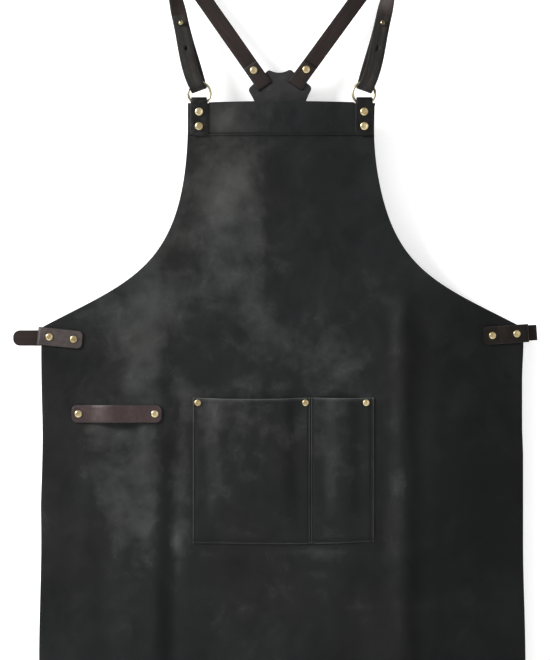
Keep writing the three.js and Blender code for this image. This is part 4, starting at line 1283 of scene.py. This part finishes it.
for name, side in SIDES.items():
    seed = add_object("ring_seed", bpy.data.meshes.new("ring_seed"))
    values = {"Radius": RING_RADIUS * MM, "Wire": RING_WIRE * MM, "Material": ring_brass}
    ring = run_tree(seed, bending, values, "bent_ring_" + name)
    ring.data.transform(Matrix.Translation(to_metres((side * RING_X, ring_y, RING_Z))))
    enrol(ring, "ring_" + name, "ring_brass", "ring_" + name)

# %% [markdown]
# ## The yoke
#
# The yoke is a four-armed piece cut from firm leather, with a slot in each arm for a strap. It is a
# flat outline with holes, so a filled 2D curve with a bevel makes it in one step, rounded edges and
# slot walls included. Each slot lies square to the strap that passes through it.

# %% The yoke's outline
YOKE_X, YOKE_TILT, YOKE_WAIST = -1.5, math.radians(1.6), -16.0
HORN, ARM = Vector((13.5, 42.3)), Vector((40.4, 18.7))
SCOOP, FLARE, FLARE_REACH, ARM_ROUND, HORN_ROUND = 3.3, math.radians(30), 30.0, 5.0, 2.5
SLOT_X, SLOT_Z, SLOT_LENGTH = 20.2, 24.0, 19.3
SLOT_AIR = -0.2  # the strap is squeezed a little by its slot
YOKE_RIVET_RUN, TAIL_BEYOND_RIVET, LOWER_LEAN = 21.7, 8.5, 38


def yoke_point(x, z):
    c, s = math.cos(YOKE_TILT), math.sin(YOKE_TILT)
    return Vector((YOKE_X + x * c - z * s, 0, x * s + z * c))


def slot_place(side, upper):
    z = SLOT_Z if upper else 2 * YOKE_WAIST - SLOT_Z
    return yoke_point(side * SLOT_X, z)


def bezier2(a, b, c, steps):
    return [a.lerp(b, k / steps).lerp(b.lerp(c, k / steps), k / steps) for k in range(1, steps + 1)]


def bezier3(a, b, c, d, steps):
    return [cubic(a, b, c, d, k / steps) for k in range(1, steps + 1)]


def yoke_outline():
    to_arm = (ARM - HORN).normalized()
    down = Vector((-math.sin(FLARE), -math.cos(FLARE)))
    horn_in = HORN + Vector((-HORN_ROUND, -HORN_ROUND * 0.45))
    quarter = [horn_in, *bezier2(horn_in, HORN, HORN + to_arm * HORN_ROUND, 5)]
    arm_in, arm_out = ARM - to_arm * ARM_ROUND, ARM + down * ARM_ROUND
    quarter += [arm_in, *bezier2(arm_in, ARM, arm_out, 8)]
    handle = ARM + down * FLARE_REACH

    def flip(v, sx, sz):
        return Vector((sx * v.x, v.y if sz > 0 else 2 * YOKE_WAIST - v.y))

    outline = []
    for sx, sz in ((1, 1), (1, -1), (-1, -1), (-1, 1)):
        corner = [flip(v, sx, sz) for v in quarter]
        down_side = (sx, sz) in ((1, 1), (-1, -1))
        outline += corner if down_side else corner[::-1]
        if down_side:
            ends = [flip(v, sx, z) for v, z in ((arm_out, sz), (handle, sz), (handle, -sz), (arm_out, -sz))]
            outline += bezier3(*ends, 24)[:-1]
        else:
            middle = Vector((0, HORN.y - 2 * SCOOP))
            ends = [flip(horn_in, sx, sz), flip(middle, 1, sz), flip(horn_in, -sx, sz)]
            outline += bezier2(*ends, 12)[:-1]
    return [yoke_point(v.x, v.y) for v in outline]


def slot_corners(place, direction):
    reach = (behind_yoke_y - tail_y) / 2 + STRAP / 2 + SLOT_AIR
    across = Vector((direction.z, 0, -direction.x)) * (SLOT_LENGTH / 2)
    near, far = direction * GAP, direction * -reach
    return [place + across + near, place - across + near, place - across + far, place + across + far]


# %% [markdown]
# ## Straps
#
# Each shoulder strap is one long strip. Its punched free end hangs in front, held by a ball stud. The
# strap goes down through the ring, up behind itself, over the peg or shoulder that carries the
# apron, and down the back to the yoke, where its end is pulled through the slot and riveted. Above
# the stud it turns a little about its own length, because it is pulled towards the middle. The layer
# in front of the apron is waxed darker and glossier than the rest, and greyer, which is painted
# sheen. A dark line runs along its edges: the pressed crease's own darker colour, and painted shade
# of its groove.

# %% Where the straps run
RING_FOLD_X, RING_FOLD_RADIUS, RING_FOLD_Y, RING_SEAT = 106.3, 7.2, 0.3, 4.6
FRONT_LEAN, BACK_LEAN = 26, 14
STUD_X, STUD_Z, STUD_LEAN = 125.3, 99.5, 12.5
TIP_X, TIP_Z, TIP_LEAN, TIP_ROUND = 127.4, 109.5, 10, 5
ADJUST_HOLES = [(118.7, 68.0, 12), (112.6, 35.0, 18)]  # x, z, lean in degrees
TWIST_FROM, TWIST_FULL, TWIST_TO, TWIST = 104, 134, 182, 36  # three heights, then degrees
CREST_X, CREST_Z, CREST_LEAN, PEG_RADIUS = 143.5, 186.0, 10, 8.0
crest_radius = PEG_RADIUS + STRAP / 2
YOKE_CAP = 4.6
STEP_BEND, STEP_MARGIN = 6.4, 0.6  # the strap steps back behind the yoke just past its rivet


def crest_fold(start, upwards, slot):
    out = upwards.copy()
    for _ in range(6):
        over = fold(start, upwards, -out, FROM_VIEWER, crest_radius, FROM_VIEWER, STRAP_WIDTH, 18)
        out = Vector((over[-1].point.x - slot.x, 0, over[-1].point.z - slot.z)).normalized()
    return over, out


def yoke_end(slot, out, start, direction, steps):
    into = -out

    def at(distance, y):
        return Vector((slot.x, y, slot.z)) + out * distance

    flat_half = YOKE_CAP + STEP_MARGIN
    step_from = at(YOKE_RIVET_RUN - flat_half, riveted_y)
    step_to = at(YOKE_RIVET_RUN - flat_half - STEP_BEND, behind_yoke_y)
    flat = at(YOKE_RIVET_RUN + flat_half, riveted_y)
    main = run(start, direction, flat, into, TO_VIEWER, STRAP_WIDTH, steps)
    step = run(step_from, into, step_to, into, TO_VIEWER, STRAP_WIDTH, 6, 0.4)
    radius = (behind_yoke_y - tail_y) / 2
    turn = fold(at(0, behind_yoke_y), into, out, TO_VIEWER, radius, TO_VIEWER, STRAP_WIDTH, 12)
    tip = station(at(YOKE_RIVET_RUN + TAIL_BEYOND_RIVET, tail_y), out, FROM_VIEWER, STRAP_WIDTH)
    return [*main, *step, *turn, tip]


def twisted(stations, side):
    """Turns a stretch of strap about its own length, most in the middle of the stretch."""
    made = []
    for s in stations:
        z = s.point.z
        share = float(ease(z, TWIST_FROM, TWIST_FULL) * (1 - ease(z, TWIST_FULL + 8, TWIST_TO)))
        turn = Matrix.Rotation(math.radians(TWIST) * share * side, 3, s.across.cross(s.normal))
        made.append(s.but(across=turn @ s.across, normal=turn @ s.normal))
    return made


def shoulder_strap(side):
    def at(x, z, y):
        return Vector((side * x, y, z))

    w = STRAP_WIDTH
    down_to_ring = -leaning(side, FRONT_LEAN)
    up_from_ring = leaning(side, BACK_LEAN)
    fold_z = RING_Z + RING_SEAT + RING_FOLD_RADIUS - STRAP / 2
    fold_start = at(RING_FOLD_X, fold_z, RING_FOLD_Y - RING_FOLD_RADIUS)
    stud_way = leaning(side, STUD_LEAN)
    free_stud = at(STUD_X, STUD_Z, free_strap_y)
    tip = at(TIP_X, TIP_Z, free_strap_y)
    free_end = run(tip, -leaning(side, TIP_LEAN), free_stud, -stud_way, TO_VIEWER, w, 1)
    front = run(free_stud, -stud_way, fold_start, down_to_ring, TO_VIEWER, w, 26)[1:]
    turn = fold(fold_start, down_to_ring, up_from_ring, FROM_VIEWER, RING_FOLD_RADIUS, TO_VIEWER, w, 18)
    main_stud = at(STUD_X, STUD_Z, main_strap_y)
    back = run(turn[-1].point, up_from_ring, main_stud, stud_way, FROM_VIEWER, w, 20)
    crest_start = at(CREST_X, CREST_Z, main_strap_y)
    rise = run(main_stud, stud_way, crest_start, leaning(side, CREST_LEAN), FROM_VIEWER, w, 24)
    rise = twisted(rise, side)
    slot = slot_place(side, True)
    over, out = crest_fold(crest_start, leaning(side, CREST_LEAN), slot)
    down = yoke_end(slot, out, over[-1].point, -out, 30)
    stations = [*free_end, *front, *turn[1:], *back[1:], *rise[1:], *over[1:], *down[1:]]
    return rounded_end(stations, TIP_ROUND), slot, out


HOLE_RADIUS, SLIT_WIDTH, SLIT_LENGTH, CUTTER_DEPTH = 1.75, 0.9, 7.4, 6.4


def hole_cutters(side, x, z, lean):
    """A punched hole with a short slit above and below, which lets the ball stud through."""
    y, reach = free_strap_y - 0.4, CUTTER_DEPTH / 2
    bore = turned_mesh("bore", [(0, -reach), (HOLE_RADIUS, -reach), (HOLE_RADIUS, reach), (0, reach)], 24)
    bore.transform(Matrix.Translation(to_metres((side * x, y, z))))
    slit = bpy.data.meshes.new("slit")
    bm = bmesh.new()
    bmesh.ops.create_cube(bm, size=1)
    bm.to_mesh(slit)
    bm.free()
    slit.transform(Matrix.Diagonal((SLIT_WIDTH * MM, CUTTER_DEPTH * MM, SLIT_LENGTH * MM, 1)))
    slit.transform(Matrix.Rotation(side * math.radians(lean), 4, "Y"))
    slit.transform(Matrix.Translation(to_metres((side * x, y, z))))
    made = [add_object(mesh.name, mesh) for mesh in (bore, slit)]
    for cutter in made:
        cutter.hide_render = True
    return made


yoke_slots, yoke_rivets = [], []
for name, side in SIDES.items():
    stations, slot, out = shoulder_strap(side)
    yoke_slots.append(slot_corners(slot, out))
    rivet = slot + out * YOKE_RIVET_RUN
    yoke_rivets.append((rivet.x, rivet.z, tail_y - STRAP / 2, riveted_y + STRAP / 2, YOKE_CAP))
    strap = strip("shoulder_" + name, stations, STRAP, [strap_flesh, strap_grain, cut_edge])
    # The outer faces in front of the apron take a darker, glossier finish whose grey is painted sheen.
    strap.data.materials.append(free_end_grain)
    for polygon in strap.data.polygons:
        if polygon.material_index == 0 and polygon.center.y < to_metres((0, 0, 0)).y:
            polygon.material_index = 3
    cut_holes(strap, [cutter for hole in ADJUST_HOLES for cutter in hole_cutters(side, *hole)])
    strap.data.shade_smooth()
    enrol(strap, "harness", "strap_leather", "shoulder_strap_" + name)
    print(strap.name, len(strap.data.polygons), "faces")

# %% [markdown]
# ## Lower straps and side tabs
#
# The lower straps run from the yoke to a stud on the back of each side tab. The left one ends in a
# rounded tip that shows beside the panel. The right one is too long, so its end is tucked back and
# buttoned over the same stud. They cross from the harness to the apron.

# %% The side tabs
TABS = {
    "left": {"fold": 303.9, "z": -289.6, "tilt": 5.6},
    "right": {"fold": 307.6, "z": -286.2, "tilt": 3.9},
}
TAB_HEIGHT, TAB_LENGTH, TAB_BACK_LENGTH, TAB_ROUND = 22.6, 56, 54, 6
TAB_RIVETS, TAB_STUD, SIDE_CAP = (14.8, 45.2), 29.5, 4.5
STRAP_END = {"left": {"reach": 334.8, "tilt": 0}, "right": {"reach": 318.3, "tilt": 3.9}}
TUCK, STRAP_TIP_ROUND = 17, 8.6


def tab_point(name, distance, y=0.0):
    tab = TABS[name]
    tilt = math.radians(tab["tilt"])
    x = SIDES[name] * (tab["fold"] - distance * math.cos(tilt))
    return Vector((x, y, tab["z"] - distance * math.sin(tilt)))


def outwards_at(side, tilt):
    return Vector((side * math.cos(math.radians(tilt)), 0, math.sin(math.radians(tilt))))


tab_rivets = []
for name, side in SIDES.items():
    radius = (side_tab_back - side_tab_front - SIDE_TAB) / 2
    front_y, back_y = side_tab_front + SIDE_TAB / 2, side_tab_back - SIDE_TAB / 2
    outwards = outwards_at(side, TABS[name]["tilt"])
    fold_run = radius + SIDE_TAB / 2
    at_fold = tab_point(name, fold_run, front_y)
    stations = []
    for distance in (TAB_LENGTH, TAB_LENGTH - 12):
        stations.append(station(tab_point(name, distance, front_y), outwards, TO_VIEWER, TAB_HEIGHT))
    stations += fold(at_fold, outwards, -outwards, FROM_VIEWER, radius, TO_VIEWER, TAB_HEIGHT, 14)
    for distance in (TAB_BACK_LENGTH - 12, TAB_BACK_LENGTH):
        stations.append(station(tab_point(name, distance, back_y), -outwards, FROM_VIEWER, TAB_HEIGHT))
    stations = rounded_ends(stations, TAB_ROUND)
    tab_finish = {"left": side_hide, "right": dark_side_hide}[name]
    finishes = [tab_finish, strap_flesh, cut_edge]
    tab = strip("tab_of_side_" + name, stations, SIDE_TAB, finishes, corner=0.6)
    enrol(tab, "apron", "side_tab_leather", "side_tab_" + name)
    for distance in TAB_RIVETS:
        p = tab_point(name, distance)
        tab_rivets.append((p.x, p.z, side_tab_front, side_tab_back, SIDE_CAP))

# %% The lower straps
for name, side in SIDES.items():
    end = STRAP_END[name]
    outwards = outwards_at(side, end["tilt"])
    stud_at = tab_point(name, TAB_STUD)

    def at(inward_run, y):
        place = stud_at - outwards * inward_run
        return Vector((place.x, y, place.z))

    outer_run = (end["reach"] - abs(stud_at.x)) / math.cos(math.radians(end["tilt"]))
    if name == "right":
        radius = (tucked_y - lower_strap_y) / 2
        at_fold = at(-outer_run + radius + STRAP / 2, tucked_y)
        tip = station(at(TUCK, tucked_y), outwards, FROM_VIEWER, STRAP_WIDTH)
        nxt = station(at(TUCK - 12, tucked_y), outwards, FROM_VIEWER, STRAP_WIDTH)
        turn = fold(at_fold, outwards, -outwards, TO_VIEWER, radius, FROM_VIEWER, STRAP_WIDTH, 12)
        outer = [tip, nxt, *turn]
    else:
        tip = station(at(-outer_run, lower_strap_y), -outwards, TO_VIEWER, STRAP_WIDTH)
        nxt = station(at(-outer_run + 14, lower_strap_y), -outwards, TO_VIEWER, STRAP_WIDTH)
        outer = [tip, nxt]
    slot = slot_place(side, False)
    out = leaning(side, 180 - LOWER_LEAN)
    yoke_slots.append(slot_corners(slot, out))
    rivet = slot + out * YOKE_RIVET_RUN
    yoke_rivets.append((rivet.x, rivet.z, tail_y - STRAP / 2, riveted_y + STRAP / 2, YOKE_CAP))
    inner_run = TAB_BACK_LENGTH + 4 - TAB_STUD
    stations = [*outer, *yoke_end(slot, out, at(inner_run, lower_strap_y), -outwards, 60)]
    stations = rounded_end(stations, STRAP_TIP_ROUND)
    strap = strip("lower_" + name, stations, STRAP, [strap_flesh, strap_grain, cut_edge])
    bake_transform(strap)
    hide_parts("lower_strap_" + name)

# %% The yoke itself
outline = [yoke_outline(), *yoke_slots]
data = bpy.data.curves.new("yoke_curve", "CURVE")
data.dimensions = "2D"
data.fill_mode = "BOTH"
YOKE_EDGE = 0.45
data.extrude = (YOKE / 2 - YOKE_EDGE) * MM
data.bevel_depth = YOKE_EDGE * MM
data.bevel_resolution = 3
data.offset = -YOKE_EDGE * MM
for line in outline:
    spline = data.splines.new("POLY")
    spline.points.add(len(line) - 1)
    spline.use_cyclic_u = True
    for point, place in zip(spline.points, line):
        point.co = (place.x * MM, place.z * MM, 0, 1)
data.materials.append(yoke_hide)
yoke = apply_modifiers(add_object("yoke_curve", data), "yoke")
yoke.data.transform(Matrix.Rotation(math.pi / 2, 4, "X"))
yoke.data.transform(Matrix.Translation(to_metres((0, YOKE_FRONT + YOKE / 2, 0))))
closed_up(yoke.data)
enrol(yoke, "harness", "yoke_leather", "back_yoke")
print("yoke", [round(v / MM, 1) for v in yoke.dimensions])

# %% [markdown]
# ## The towel loop
#
# A short strip riveted at both ends stands off the hide in the middle, so a towel can be pulled
# through. Light falls on its bowed face in a band, which is most of its character.

# %% The towel loop
LOOP_FROM, LOOP_TO, LOOP_Z, LOOP_HEIGHT = -261.4, -149.4, -386.8, 22.4
LOOP_BOW, LOOP_FLAT, LOOP_ROUND, LOOP_RIVET = 7.0, 15.0, 7.0, 8.4
EAST = Vector((1, 0, 0))

rest_y = loop_front + LOOP / 2
loop_middle = (LOOP_FROM + LOOP_TO) / 2
loop_start = Vector((LOOP_FROM, rest_y, LOOP_Z))
loop_lift = Vector((LOOP_FROM + LOOP_FLAT, rest_y, LOOP_Z))
loop_top = Vector((loop_middle, rest_y - LOOP_BOW, LOOP_Z))
half = [
    *run(loop_start, EAST, loop_lift, EAST, TO_VIEWER, LOOP_HEIGHT, 1),
    *run(loop_lift, EAST, loop_top, EAST, TO_VIEWER, LOOP_HEIGHT, 20, 0.45)[1:],
]
half = rounded_end(half, LOOP_ROUND)
other = [
    s.but(
        point=Vector((2 * loop_middle - s.point.x, s.point.y, s.point.z)),
        normal=Vector((-s.normal.x, s.normal.y, s.normal.z)),
    )
    for s in half[-2::-1]
]
towel_loop = strip("bowed_loop", [*half, *other], LOOP, [loop_hide, strap_flesh, cut_edge], corner=0.6)
enrol(towel_loop, "apron", "loop_leather", "towel_loop")

# %% [markdown]
# ## Setting the rivets
#
# Every place is known by now, so all rivets on the apron are set in one go, and the yoke's four in
# another, because they move with the straps.

# %% Rivets on the apron and on the yoke
RING_TAB_CAP, POCKET_CAP, LOOP_CAP = 5.0, 4.1, 4.5
POCKET_RIVET_X, POCKET_RIVET_Z = (-104.4, 29.6, 105.2), -373
apron_rivets = [*tab_rivets]
for side in SIDES.values():
    for down in RING_TAB_RIVETS:
        apron_rivets.append((side * RING_TAB_X, -down, ring_tab_front, ring_tab_back, RING_TAB_CAP))
for x in POCKET_RIVET_X:
    apron_rivets.append((x, POCKET_RIVET_Z, pocket_front, hide_back, POCKET_CAP))
for x in (LOOP_FROM + LOOP_RIVET, LOOP_TO - LOOP_RIVET):
    apron_rivets.append((x, LOOP_Z, loop_front, hide_back, LOOP_CAP))

rivet_nodes = sorted(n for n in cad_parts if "_rivet_" in n)
yoke_nodes = [n for n in rivet_nodes if n.startswith("yoke_")]
set_rivets("rivets_apron", apron_rivets, "apron", [n for n in rivet_nodes if n not in yoke_nodes])
set_rivets("rivets_yoke", yoke_rivets, "harness", yoke_nodes)

# %% [markdown]
# ## Ball studs
#
# A ball stud has a flange against the leather, a neck in the punched hole and a ball that the hole
# is pushed over. A screw from the other side holds it. Both are turned profiles, one pair on each
# shoulder strap and one on the back of each side tab.

# %% The studs and their screws
NECK, BALL, SCREW, SCREW_HEAD = 2.0, 3.4, 1.4, 3.8
SEAT_DEPTH = 1.3  # a side stud's screw head is sunk this far into the back leg of its tab


def stud_profile(flange, layers):
    neck_end = 3 * GAP + flange + layers
    ball_y = neck_end + math.sqrt(BALL**2 - NECK**2)
    ball = []
    for degrees in range(-54, 90, 9):
        angle = math.radians(degrees)
        ball.append((BALL * math.cos(angle), ball_y + BALL * math.sin(angle)))
    return [
        (0, GAP),
        (3.7, GAP),
        (4.0, GAP + 0.25),
        (3.85, GAP + flange * 0.8),
        (2.5, GAP + flange),
        (NECK, GAP + flange + 0.3),
        (NECK, neck_end - 0.2),
        *ball,
        (0, ball_y + BALL),
    ]


def screw_profile(seat):
    head, tip = -seat - GAP, GAP - 0.05
    return [
        (0, head - 0.55),
        (1.2, head - 0.6),
        (3.2, head - 0.75),
        (SCREW_HEAD, head - 0.5),
        (SCREW_HEAD, head),
        (SCREW, head),
        (SCREW, tip),
        (0, tip),
    ]


def stud(name, place, base, out, flange, layers, seat, body):
    for suffix, profile in (("", stud_profile(flange, layers)), ("_screw", screw_profile(seat))):
        placed = [(radius, out * y) for radius, y in profile]
        mesh = turned_mesh("turned_" + name + suffix, placed, 40)
        mesh.materials.append(stud_brass)
        mesh.transform(Matrix.Translation(to_metres((place.x, base, place.z))))
        closed_up(mesh)
        piece = show(mesh.name, mesh)
        enrol(piece, body, "stud_brass", name + suffix)


for name, side in SIDES.items():
    place = Vector((side * STUD_X, 0, STUD_Z))
    stud("strap_stud_" + name, place, main_strap_y - STRAP / 2, -1, STUD_FLANGE, STRAP, STRAP, "harness")
    place = tab_point(name, TAB_STUD)
    layers = 2 * STRAP + GAP if name == "right" else STRAP
    stud("side_stud_" + name, place, side_tab_back, 1, SIDE_STUD_FLANGE, layers, SEAT_DEPTH, "apron")

bpy.data.objects.remove(cap_source)
bpy.data.objects.remove(post_source)

# %% [markdown]
# ## The size of the dressed model
#
# The dressed model should fill the same box as the solid one, apart from a little that soft leather
# may stand proud.

# %% The two boxes
dressed_low, dressed_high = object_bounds()
sizes = {
    "cad": [list(solid_low), list(solid_high)],
    "visual": [list(dressed_low), list(dressed_high)],
}
print("dressed model", [round(v, 4) for v in dressed_high - dressed_low])
